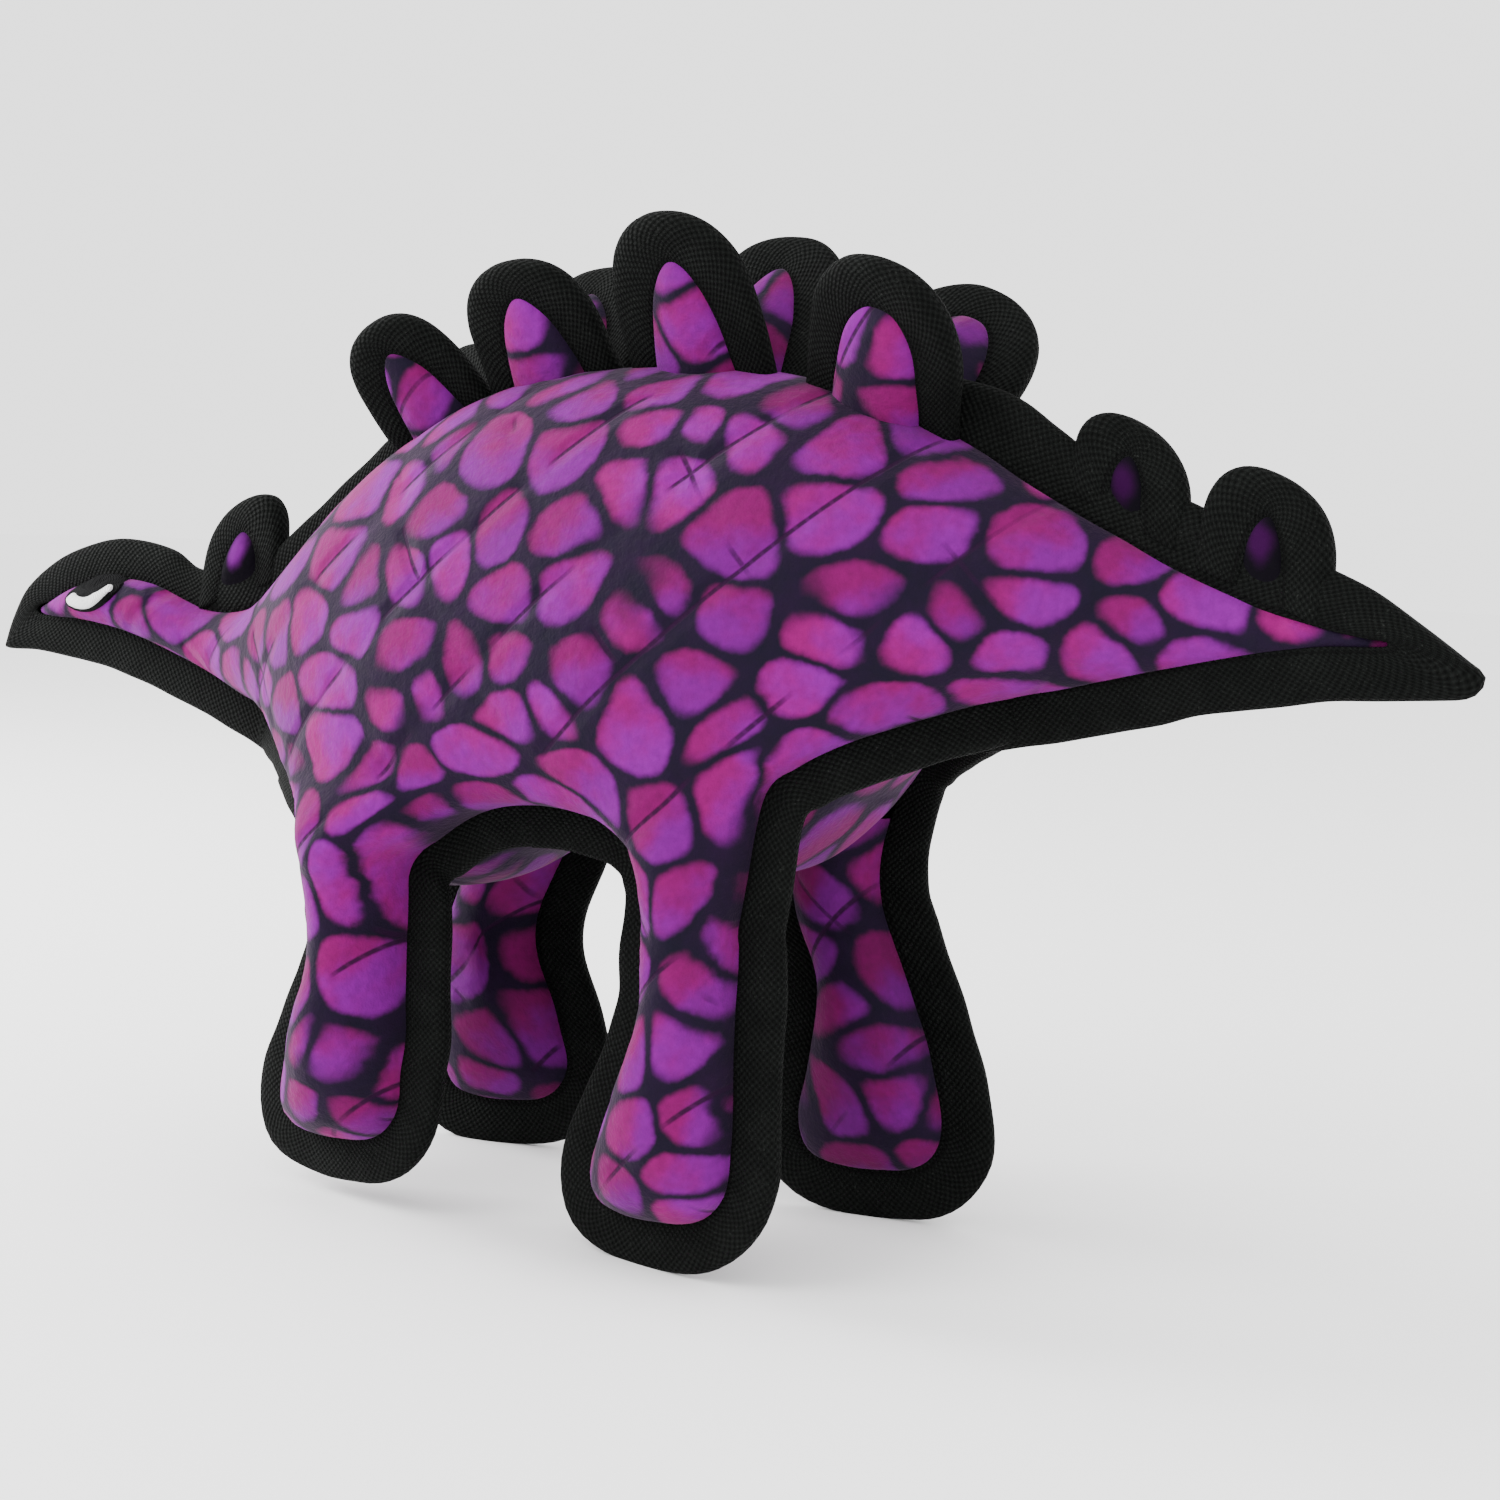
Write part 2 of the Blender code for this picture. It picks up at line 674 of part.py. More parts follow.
def build_squeaker():
    """A flat blown bulb, open at one face, with its reed pressed into that opening."""
    clear = material("blown_plastic", (0.8, 0.8, 0.82), 0.35)
    centre = Vector(SQUEAKER_PLACE)
    outer, inner = [], []
    for angle in range(-90, 61, 30):
        turn = math.radians(angle)
        outer.append((max(SQUEAKER_RADIUS * math.cos(turn), 2.0), SQUEAKER_HALF * math.sin(turn)))
        thin = SQUEAKER_RADIUS - SQUEAKER_WALL
        inner.append((max(thin * math.cos(turn), 2.0), (SQUEAKER_HALF - SQUEAKER_WALL) * math.sin(turn)))
    lip = REED_RADIUS + 0.3
    outer.append((lip, SQUEAKER_HALF))
    inner.append((lip, SQUEAKER_HALF - 2.5))
    turned("squeaker_bulb", outer + inner[::-1], centre, clear)
    reed = [(1.2, 3.0), (REED_RADIUS, 3.0), (REED_RADIUS, SQUEAKER_HALF + 0.8), (1.2, SQUEAKER_HALF + 0.8)]
    turned("squeaker_reed", reed, centre, material("white_plastic", (0.85, 0.85, 0.85), 0.4), 12)


# Eyes


def build_eye(name, side):
    """A stitched oval patch on the cheek."""
    x, z = EYE_PLACE
    rings = []
    for depth, share in ((EYE_BACK_Y, 1.0), (EYE_BACK_Y + EYE_THICKNESS, 0.9)):
        ring = []
        for i in range(16):
            turn = 2 * math.pi * i / 16
            across, up = EYE_HALF[0] * share * math.cos(turn), EYE_HALF[1] * share * math.sin(turn)
            ring.append(Vector((x + across, side * depth, z + up)))
        rings.append(ring)
    return loft(name, rings, material("eye_thread", (0.9, 0.9, 0.88), 0.6))


# The whole toy


def hip_cutters(label, gap):
    made = {}
    for place, leg in LEGS.items():
        ends = [Vector((leg["x"], leg["side"] * y, leg["z"])) for y in (HIP_INNER_Y, 90.0)]
        made[place] = cylinder(f"{label}_{place}", HIP_RADIUS + gap, *ends)
    return made


def upright_cutter(name, x, radius):
    return cylinder(name, radius, Vector((x, 0, 80)), Vector((x, 0, 270)))


def end_cutter(name, axis_x, radius, towards):
    """What the head or the tail loses at its flexing end: everything past the axis but the round face."""
    far = axis_x + towards * 60
    rings = []
    for z in (80.0, 270.0):
        ring = [Vector((far, -60, z)), Vector((far, 60, z))]
        ring.append(Vector((axis_x, 60, z)))
        for i in range(17):
            turn = math.pi * i / 16
            ring.append(Vector((axis_x + towards * radius * math.sin(turn), radius * math.cos(turn), z)))
        ring.append(Vector((axis_x, -60, z)))
        rings.append(ring)
    return as_cutter(loft(name, rings, stuffing()))


def build_torso():
    hips = hip_cutters("hip_socket", GAP)
    wide_hips = hip_cutters("hip_clearance", WEBBING_GAP)
    neck = upright_cutter("neck_socket", NECK_AXIS_X, NECK_RADIUS + GAP)
    tail = upright_cutter("tail_socket", TAIL_AXIS_X, TAIL_RADIUS + GAP)
    for side, side_name in ((-1, "left"), (1, "right")):
        own = [hips[f"front_{side_name}"], hips[f"hind_{side_name}"]]
        wide = [wide_hips[f"front_{side_name}"], wide_hips[f"hind_{side_name}"]]
        cut(torso_cover(f"torso_cover_{side_name}", side), [*own, neck, tail])
        points, outward = belly_points(side)
        for label, (first, last) in BELLY_RUNS.items():
            run = slice(first, last)
            strip = webbing_strip(f"{label}_{side_name}", points[run], outward[run], BELLY_WEB_START, BELLY_WEB_END)
            cut(strip, [*wide, neck, tail])
    cut(belly_gusset("belly_gusset"), [*hips.values(), neck, tail])
    cut(torso_fill("torso_stuffing"), [*hips.values(), neck, tail, squeaker_pocket()])
    nape = [Vector((x, 0, z)) for x, z, _ in SPINE[:3]]
    nape[-1] = nape[-1].lerp(nape[-2], 0.1)
    cut(webbing_strip("nape_binding", nape, side_normals(nape, Vector((0, -1, 0)))), [neck])
    build_squeaker()
    for number, plate in enumerate(PLATES, start=1):
        for side, side_name in ((-1, "left"), (1, "right")):
            build_back_plate(number, plate, side, side_name)


def build_head():
    socket = end_cutter("neck_round", NECK_AXIS_X, NECK_RADIUS, 1)
    for side, side_name in ((-1, "left"), (1, "right")):
        cut(lens_cover(f"head_cover_{side_name}", HEAD_STATIONS, side, HEAD_TIP, HEAD_TIP_REACH), [socket])
        build_eye(f"eye_{side_name}", side)
    cut(lens_fill("head_stuffing", HEAD_STATIONS), [socket])
    cut(lens_binding("head_binding", HEAD_STATIONS, HEAD_TIP, HEAD_TIP_REACH), [socket])
    small_plate("neck_plate", NECK_PLATE, HEAD_STATIONS)


def build_tail():
    socket = end_cutter("tail_round", TAIL_AXIS_X, TAIL_RADIUS, -1)
    for side, side_name in ((-1, "left"), (1, "right")):
        cut(lens_cover(f"tail_cover_{side_name}", TAIL_STATIONS, side, TAIL_TIP, TAIL_TIP_REACH), [socket])
    cut(lens_fill("tail_stuffing", TAIL_STATIONS), [socket])
    cut(lens_binding("tail_binding", TAIL_STATIONS, TAIL_TIP, TAIL_TIP_REACH), [socket])
    for number, plate in enumerate(TAIL_PLATES, start=1):
        small_plate(f"tail_plate_{number}", plate, TAIL_STATIONS)


clear_scene()
build_torso()
build_head()
build_tail()
for leg_place, leg_dimensions in LEGS.items():
    build_leg(leg_place, leg_dimensions)
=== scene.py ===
"""Looks for the stuffed stegosaurus: quilted fleece panels, webbing over every seam, plates and eyes.

Lengths are in millimetres until a mesh is made. The toy faces -X and its left side is -Y. Each side is one
panel, sewn along one closed seam line, and inflated over the stuffing by solving for a membrane on it.
"""

import math

import bpy
import numpy as np
from mathutils import Matrix, Vector
from mathutils.geometry import delaunay_2d_cdt


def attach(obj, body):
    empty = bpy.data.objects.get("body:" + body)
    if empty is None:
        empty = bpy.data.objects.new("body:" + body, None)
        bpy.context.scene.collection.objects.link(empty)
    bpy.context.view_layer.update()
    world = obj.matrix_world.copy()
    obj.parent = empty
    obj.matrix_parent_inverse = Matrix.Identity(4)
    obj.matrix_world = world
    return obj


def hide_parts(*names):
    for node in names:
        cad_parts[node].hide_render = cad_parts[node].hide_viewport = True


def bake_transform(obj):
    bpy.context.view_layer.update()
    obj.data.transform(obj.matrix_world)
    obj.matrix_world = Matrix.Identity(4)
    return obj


MM = 0.001
SIDES = {"left": -1, "right": 1}
SIDE_NAMES = {-1: "left", 1: "right"}
LEG_X = {"front": -51.5, "hind": 62.0}
LEG_SEAM_Y = 44.0
LEG_TWIST = 0.14  # the front seam of a leg sits further in than the rear one
INNER_TOP = 120.0  # how high a leg's inner panel runs up inside the body
STANCE = {"front_left": -7.0, "front_right": -9.0, "hind_left": -8.0, "hind_right": 13.0}
HIP_BLEND = (108.0, 76.0)  # the heights around a hip; below the first, the side panel's cloth goes to a leg
NECK_BLEND = (-106.0, -144.0)  # and the same along x for the neck and the tail
TAIL_BLEND = (118.0, 158.0)
WEB_WIDTH = 14.0  # of the folded webbing, from its stitched edge to its fold
QUILTING = ((1, 39.0, 8.0), (-1, 33.0, 15.0))  # which way a set of lines slants, their pitch and their shift
ACROSS, UPWARD = 0.72, 0.69  # the slant of the quilting's lines
STITCHES = 310  # of the quilting, in a metre
TURN = 6.283  # a whole turn of a sine

# The seam line (x, z, half width y), from the snout over the back to the tail tip and back underneath
TOP_SEAM = (
    (-238, 164.5, 0), (-231, 168.5, 0), (-219, 173.8, 0), (-206, 177, 0), (-193, 177.6, 0), (-181, 176, 0),
    (-170, 172.2, 0), (-159, 169.2, 0), (-147, 169.4, 0), (-136, 172.6, 0), (-127, 178.5, 0), (-118, 186, 0),
    (-108, 195, 0), (-97, 206, 0), (-84, 217.5, 0), (-70, 227.5, 0), (-55, 236, 0), (-38, 242.5, 0),
    (-20, 246.5, 0), (0, 248.5, 0), (20, 249.5, 0), (40, 249, 0), (60, 246.5, 0), (80, 242, 0), (100, 235, 0),
    (116, 227.5, 0), (129, 220, 0), (142, 213.5, 0), (158, 206, 0), (177, 197.5, 0), (197, 190.5, 0),
    (213, 186.8, 0), (226, 184.2, 0),
)
TAIL_END = ((231, 182.6, 0),)
UNDER_TAIL = (
    (226, 181.2, 0), (213, 180.2, 0), (197, 177.8, 0), (178, 173.8, 0), (158, 168.8, 0), (142, 164.8, 0),
    (129, 161.8, 0), (119, 158.6, 8), (108, 154, 19), (96, 148.5, 30), (86, 142, 38), (78, 133, 42),
)
LEG_REAR = (  # from a leg's middle back to its rear seam, and z, down the leg and under the foot
    (13.0, 101), (13.4, 94), (14.2, 86), (15.0, 74), (16.0, 62), (17.6, 50), (18.8, 39), (19.2, 31),
    (17.8, 24.5), (13.6, 18.8), (7.5, 15.4), (0, 14.2),
)
LEG_FRONT = (  # and forward to its front seam
    (14.5, 106), (14.2, 97), (14.0, 86), (14.6, 74), (17.4, 62), (21.6, 50), (25.6, 39), (28.2, 30),
    (28.4, 21.0), (24.5, 15.4), (13, 13.6),
)
HIND_FRONT = ((45, 115.5, 44), (37, 120.8, 44))
ARCH = ((26, 123.8, 44), (13, 124.8, 44), (0, 124, 44), (-11, 121.5, 44), (-20.5, 116.8, 44))
FRONT_REAR = ((-28.5, 111.2, 44), (-34.5, 107.0, 44))
CHEST = (
    (-68, 114.5, 43), (-78, 119.5, 40), (-91, 124.5, 32), (-105, 129.5, 20), (-118, 134.5, 9),
    (-130, 138.6, 0),
)
UNDER_HEAD = (
    (-141, 142.2, 0), (-154, 147.2, 0), (-170, 152.8, 0), (-186, 157.6, 0), (-202, 160.8, 0),
    (-218, 162.4, 0), (-231, 162.2, 0),
)

# Where a pair of plates stands on the back, their size, how far they lean out and tilt forward, and how far
# behind the left one the right one stands and how much taller it is
PLATES = (
    {"x": -63.0, "width": 38.0, "height": 36.0, "lean": 30.0, "tilt": -2.0, "right": (-4.0, -5.0)},
    {"x": -22.5, "width": 45.0, "height": 36.5, "lean": 31.0, "tilt": -1.0, "right": (-1.0, 3.0)},
    {"x": 28.5, "width": 46.5, "height": 46.0, "lean": 30.0, "tilt": 0.0, "right": (8.0, -1.0)},
    {"x": 87.0, "width": 49.0, "height": 45.0, "lean": 34.0, "tilt": -2.0, "right": (3.0, -2.0)},
)
PLATE_EDGE = (  # the outline of a plate as shares of its half width and height
    (1.0, -0.12), (1.0, 0.22), (0.985, 0.42), (0.93, 0.60), (0.80, 0.77), (0.58, 0.905), (0.30, 0.98),
    (0, 1.0),
)
PLATE_SEAM = (  # where its webbing ends, matched with the outline
    (0.60, -0.12), (0.53, 0.12), (0.48, 0.26), (0.42, 0.40), (0.34, 0.52), (0.22, 0.63), (0.10, 0.70),
    (0, 0.72),
)
LAST_SEAM = (  # the same for the last pair, whose webbing is narrower
    (0.60, -0.12), (0.56, 0.12), (0.53, 0.26), (0.49, 0.40), (0.43, 0.52), (0.32, 0.63), (0.17, 0.71),
    (0, 0.73),
)

# Webbing on the head and the tail: its stitched edge and its folded edge, (x, z, x, z)
HEAD_BAND = (
    (-128, 138, -130.5, 122.4), (-141, 142.2, -146, 129), (-154, 147.2, -159, 134.2),
    (-170, 152.8, -174, 138.8), (-186, 157.6, -190, 143.8), (-202, 160.8, -206, 147),
    (-218, 162.4, -221, 149), (-231, 162.2, -238, 150.8), (-237, 162.9, -251.8, 150.6),
    (-238, 164.5, -252.6, 152.6), (-236, 166.5, -248.6, 162.5), (-231, 168.5, -242, 173),
    (-219, 173.8, -228, 182.8), (-206, 177, -210, 189), (-193, 177.6, -194, 190.2), (-181, 176, -178, 187.5),
    (-170, 172.2, -167, 182.4), (-159, 169.2, -158, 182), (-147, 169.4, -148, 183), (-136, 172.6, -141, 185.5),
    (-127, 178.5, -134.5, 188.5), (-118, 186, -125, 195.8), (-108, 195, -113.5, 205), (-97, 205, -102, 214.5),
    (-84, 217, -88.5, 225.5), (-74, 224, -78, 232.5),
)
TAIL_BAND = (
    (100, 234, 105, 247.5), (116, 227, 124, 242.5), (129, 220, 137, 234.5), (142, 213.5, 149, 227),
    (158, 206, 166, 220), (177, 197.5, 186, 212), (197, 190.5, 207, 203.5), (213, 186.8, 223, 197),
    (226, 184.2, 238, 187.5), (230.4, 183.4, 248.5, 180.5), (231, 182.6, 253.6, 176.4),
    (230.4, 181.8, 251, 171.4),
    (226, 181.2, 242, 169.6), (213, 180.2, 222, 168), (197, 177.8, 203, 165), (178, 173.8, 183, 161.5),
    (158, 168.8, 163, 156), (142, 164.8, 146, 151.5), (129, 161.8, 132, 148.8), (119, 158.6, 121, 146.2),
)


# Curves


def spline(points, step, closed=False):
    """A Catmull-Rom curve through the points, at an even step along it."""
    p = np.array(points, float)
    if closed:
        p = np.vstack([p[-1], p, p[0], p[1]])
    else:
        p = np.vstack([2 * p[0] - p[1], p, 2 * p[-1] - p[-2]])
    out = []
    for a, b, c, d in zip(p, p[1:], p[2:], p[3:]):
        t = np.linspace(0, 1, 24, endpoint=False)[:, None]
        square, cube = 2 * a - 5 * b + 4 * c - d, 3 * b - a - 3 * c + d
        out.append(0.5 * (2 * b + (c - a) * t + square * t**2 + cube * t**3))
    curve = np.vstack([*out, p[-2]])
    along = np.concatenate([[0], np.cumsum(np.linalg.norm(np.diff(curve, axis=0), axis=1))])
    count = max(int(round(along[-1] / step)), 2)
    at = np.linspace(0, along[-1], count + 1)
    if closed:
        at = at[:-1]
    return np.stack([np.interp(at, along, curve[:, k]) for k in range(curve.shape[1])], axis=1)


def leg_outline(name):
    """Down the rear edge of a leg, under the foot and up the front."""
    x = LEG_X[name]
    calf, toe = {"front": (1.8, 0.0), "hind": (0.0, 0.8)}[name]
    down = [(x + h + calf * (z > 45), z, LEG_SEAM_Y + LEG_TWIST * h) for h, z in LEG_REAR]
    up = []
    for h, z in LEG_FRONT[::-1]:
        up.append((x - h + 2.0 * (z < 80) - toe * (z < 35), z, LEG_SEAM_Y - LEG_TWIST * h))
    return down + up


def seam_line(step):
    """The whole closed seam of a side panel as (x, z, y)."""
    points = [*TOP_SEAM, *TAIL_END, *UNDER_TAIL, *leg_outline("hind"), *HIND_FRONT, *ARCH, *FRONT_REAR]
    points += [*leg_outline("front"), *CHEST, *UNDER_HEAD]
    return spline(points, step, closed=True)


def smoothstep(value, low, high):
    t = np.clip((value - low) / (high - low), 0, 1)
    return t * t * (3 - 2 * t)


def unit(vectors):
    return vectors / np.linalg.norm(vectors, axis=1)[:, None]


def noise(points, size, seed=0):
    """Smooth value noise in three dimensions, about -1 to 1."""
    p = np.asarray(points, float) / size
    base = np.floor(p).astype(np.int64)
    f = p - base
    f = f * f * (3 - 2 * f)
    total = np.zeros(len(p))
    for corner in range(8):
        o = np.array([corner & 1, corner >> 1 & 1, corner >> 2 & 1])
        c = base + o
        h = (c[:, 0] * 73856093 ^ c[:, 1] * 19349663 ^ c[:, 2] * 83492791 ^ seed * 2654435761) & 0xFFFFFFFF
        h = (h ^ (h >> 13)) * 1274126177 & 0xFFFFFFFF
        value = ((h >> 8) & 0xFFFF) / 32767.5 - 1
        total += value * np.prod(np.where(o, f, 1 - f), axis=1)
    return total


# Membranes


def inside(points, outline):
    """Which points lie within a closed outline."""
    x, z = points[:, 0], points[:, 1]
    hit = np.zeros(len(points), bool)
    for a, b in zip(outline, np.roll(outline, -1, axis=0)):
        if a[1] != b[1]:
            crossed = (a[1] > z) != (b[1] > z)
            hit ^= crossed & (x < (b[0] - a[0]) * (z - a[1]) / (b[1] - a[1]) + a[0])
    return hit


def turns_left(flat, face):
    a, b, c = flat[face]
    return (b - a)[0] * (c - a)[1] - (b - a)[1] * (c - a)[0] > 0


def nearest(points, targets):
    """Distance from each point to the nearest target."""
    out = np.empty(len(points))
    for i in range(0, len(points), 2000):
        d = points[i : i + 2000, None, :] - targets[None]
        out[i : i + 2000] = np.sqrt((d * d).sum(axis=2).min(axis=1))
    return out


def triangulate(outline, spacing, rings=(0.15, 0.6, 1.4, 2.7)):
    """A triangle mesh that fills an outline, finer near its edge. Its first points are the outline's, and
    their number comes back too."""
    flat = outline[:, :2]
    tangent = unit(np.roll(flat, -1, axis=0) - np.roll(flat, 1, axis=0))
    area = np.sum(flat[:, 0] * np.roll(flat[:, 1], -1) - flat[:, 1] * np.roll(flat[:, 0], -1))
    inward = np.stack([-tangent[:, 1], tangent[:, 0]], axis=1) * np.sign(area)
    fine = np.vstack([flat + (np.roll(flat, -1, axis=0) - flat) * t for t in (0, 0.34, 0.67)])
    extra = []
    for ring in rings:
        moved = flat + inward * ring
        keep = inside(moved, flat) & (nearest(moved, fine) > ring * 0.86)
        extra.append(moved[keep])
    low, high = flat.min(axis=0), flat.max(axis=0)
    rows = []
    for k, z in enumerate(np.arange(low[1], high[1], spacing * 0.866)):
        x = np.arange(low[0] + (k % 2) * spacing / 2, high[0], spacing)
        rows.append(np.stack([x, np.full(len(x), z)], axis=1))
    grid = np.vstack(rows)
    grid = grid[inside(grid, flat)]
    grid = grid[nearest(grid, fine) > rings[-1] + spacing * 0.55]
    points = np.vstack([flat, *extra, grid])
    count = len(flat)
    edges = [(i, (i + 1) % count) for i in range(count)]
    found = delaunay_2d_cdt([Vector(p) for p in points.tolist()], edges, [], 1, 1e-6)
    made = np.array([tuple(v) for v in found[0]])
    return made, np.array(found[2], int), count


def solve(points, faces, fixed, values, load):
    """Finite elements on the mesh: the membrane that is held at the fixed points and pushed by load."""
    n = len(points)
    rows, cols, weights = [], [], []
    mass = np.zeros(n)
    for k in range(3):
        i, j, o = faces[:, k], faces[:, (k + 1) % 3], faces[:, (k + 2) % 3]
        u, v = points[i] - points[o], points[j] - points[o]
        cross = np.abs(u[:, 0] * v[:, 1] - u[:, 1] * v[:, 0]) + 1e-9
        w = np.clip((u * v).sum(axis=1) / cross / 2, -2, 20)
        rows += [i, j]
        cols += [j, i]
        weights += [w, w]
        np.add.at(mass, o, cross / 6)
    rows, cols, weights = np.concatenate(rows), np.concatenate(cols), np.concatenate(weights)
    diagonal = np.bincount(rows, weights, n)

    def apply(x):
        return diagonal * x - np.bincount(rows, weights * x[cols], n)

    x = np.where(fixed, values, 0.0)
    free = ~fixed
    r = np.where(free, load * mass - apply(x), 0)
    scale = np.where(diagonal > 1e-9, diagonal, 1)
    z = r / scale
    p = z.copy()
    rz = r @ z
    for _ in range(2500):
        ap = np.where(free, apply(p), 0)
        step = rz / max(p @ ap, 1e-30)
        x += step * p
        r -= step * ap
        z = r / scale
        new = r @ z
        if new < 1e-12 * max(n, 1):
            break
        p = z + (new / rz) * p
        rz = new
    return x


def unrolled(flat, faces, lift, fullness):
    """Where each point of an inflated panel lay on the flat cloth: moved out by what the rise takes up."""
    a, b, c = (flat[faces[:, k]] for k in range(3))
    area = (b - a)[:, 0] * (c - a)[:, 1] - (b - a)[:, 1] * (c - a)[:, 0]
    la, lb, lc = (lift[faces[:, k]] for k in range(3))
    gx = (la * (b - c)[:, 1] + lb * (c - a)[:, 1] + lc * (a - b)[:, 1]) / area
    gz = (la * (c - b)[:, 0] + lb * (a - c)[:, 0] + lc * (b - a)[:, 0]) / area
    total, slope = np.zeros(len(flat)), np.zeros((len(flat), 2))
    for k in range(3):
        np.add.at(total, faces[:, k], np.abs(area))
        np.add.at(slope[:, 0], faces[:, k], gx * np.abs(area))
        np.add.at(slope[:, 1], faces[:, k], gz * np.abs(area))
    slope /= total[:, None]
    from_crest = np.linalg.norm(slope, axis=1)
    half = np.sqrt(from_crest**2 + 2 * np.maximum(lift, 0)) + 1e-9
    angle = np.arcsin(np.clip(from_crest / half, 0, 1))
    arc = np.zeros(len(flat))
    for k in range(12):
        at = angle * (k + 0.5) / 12
        arc += np.sqrt(np.cos(at) ** 2 + (fullness * np.sin(at)) ** 2) * angle / 12
    extra = half * (arc - np.sin(angle))
    push = slope / (from_crest[:, None] + 1e-9) * extra[:, None]
    for _ in range(24):
        around, count = push.copy(), np.ones(len(flat))
        for k in range(3):
            np.add.at(around, faces[:, k], push[faces[:, k - 1]])
            np.add.at(count, faces[:, k], 1)
        push = around / count[:, None]
    return flat - push


def quilt_depth(x, z):
    """How far the stitched diamonds of the quilting draw the cloth in."""
    depth = np.zeros(len(x))
    for sign, pitch, offset in QUILTING:
        across = (x * ACROSS + sign * z * UPWARD + offset) / pitch
        distance = np.abs(across - np.round(across)) * pitch
        depth += np.exp(-((distance / 2.6) ** 2))
    faded = smoothstep(x, -128, -108) * (1 - smoothstep(x, 150, 185)) * smoothstep(z, 60, 100)
    return np.minimum(depth, 1.3) * faded


# Meshes


def add_mesh(name, points, faces, surface, rest=None, uv=None, normals=None, printed=None):
    mesh = bpy.data.meshes.new(name)
    mesh.from_pydata((np.asarray(points) * MM).tolist(), [], [tuple(int(i) for i in f) for f in faces])
    mesh.update()
    mesh.polygons.foreach_set("use_smooth", np.ones(len(mesh.polygons), bool))
    kept = mesh.attributes.new("rest", "FLOAT_VECTOR", "POINT")
    at_rest = np.asarray(points if rest is None else rest) * MM
    kept.data.foreach_set("vector", at_rest.astype(np.float32).ravel())
    if printed is not None:
        flat = np.zeros((len(points), 3), np.float32)
        flat[:, :2] = np.asarray(printed) * MM
        kept = mesh.attributes.new("print", "FLOAT_VECTOR", "POINT")
        kept.data.foreach_set("vector", flat.ravel())
    if uv is not None:
        layer = mesh.uv_layers.new(name="cloth")
        corner = np.empty(len(mesh.loops), np.int32)
        mesh.loops.foreach_get("vertex_index", corner)
        layer.data.foreach_set("uv", np.asarray(uv)[corner].astype(np.float32).ravel())
    mesh.materials.append(surface)
    if normals is not None:
        mesh.normals_split_custom_set_from_vertices(np.asarray(normals).tolist())
    obj = bpy.data.objects.new(name, mesh)
    bpy.context.scene.collection.objects.link(obj)
    return obj


def vertex_normals(points, faces):
    a, b, c = (points[faces[:, k]] for k in range(3))
    n = np.cross(b - a, c - a)
    out = np.zeros_like(points)
    for k in range(3):
        np.add.at(out, faces[:, k], n)
    return out / np.maximum(np.linalg.norm(out, axis=1), 1e-12)[:, None]


def settle(points, side):
    """The legs' stance: the feet stand a little ahead of the hips or behind them."""
    p = np.array(points, float)
    side_name = SIDE_NAMES[side]
    off_centre = np.clip((np.abs(p[:, 1]) - 16) / 12, 0, 1)
    t = np.clip((113 - p[:, 2]) / 100, 0, 1.15) ** 1.2 * off_centre
    front = p[:, 0] < 6
    if side > 0:  # the right legs slope back from the hip
        from_middle = (p[:, 2] - np.where(front, 70, 98)) / np.where(front, 32, 28)
        drawn = off_centre * np.exp(-(from_middle**2))
        p[:, 0] -= np.where(front, 20, 9) * drawn
    p[:, 0] += t * np.where(front, STANCE[f"front_{side_name}"], STANCE[f"hind_{side_name}"])
    if side < 0:  # the left fore foot is lifted a little
        p[:, 2] += 5.0 * t * front
    return p


def part_of(points, faces, chosen):
    """The chosen faces with only their own points."""
    used = np.unique(faces[chosen])
    place = np.full(len(points), -1)
    place[used] = np.arange(len(used))
    return used, place[faces[chosen]]


def bend(obj, body):
    """Cloth on the torso goes under the torso's empty; on the head, tail and legs its transform is baked into
    the mesh.
    """
    if body == "head":
        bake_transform(obj)
    elif body == "tail":
        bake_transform(obj)
    elif body == "torso":
        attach(obj, "torso")
    else:
        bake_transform(obj)
    return obj


def fullness(x, z):
    """How much the stuffing bulges a panel, against its local width."""
    leg = 1.34 + 0.36 * smoothstep(z, 30, 62)
    body = 0.80 + 0.14 * smoothstep(-x, 55, 95) * smoothstep(z, 150, 200)
    head = 1.0 + 0.35 * smoothstep(-x, 150, 185)
    tail = 0.80
    value = body + (leg - body) * smoothstep(-z, -134, -100)
    value = value + (head - value) * smoothstep(-x, 108, 142)
    return value + (tail - value) * smoothstep(x, 112, 150)


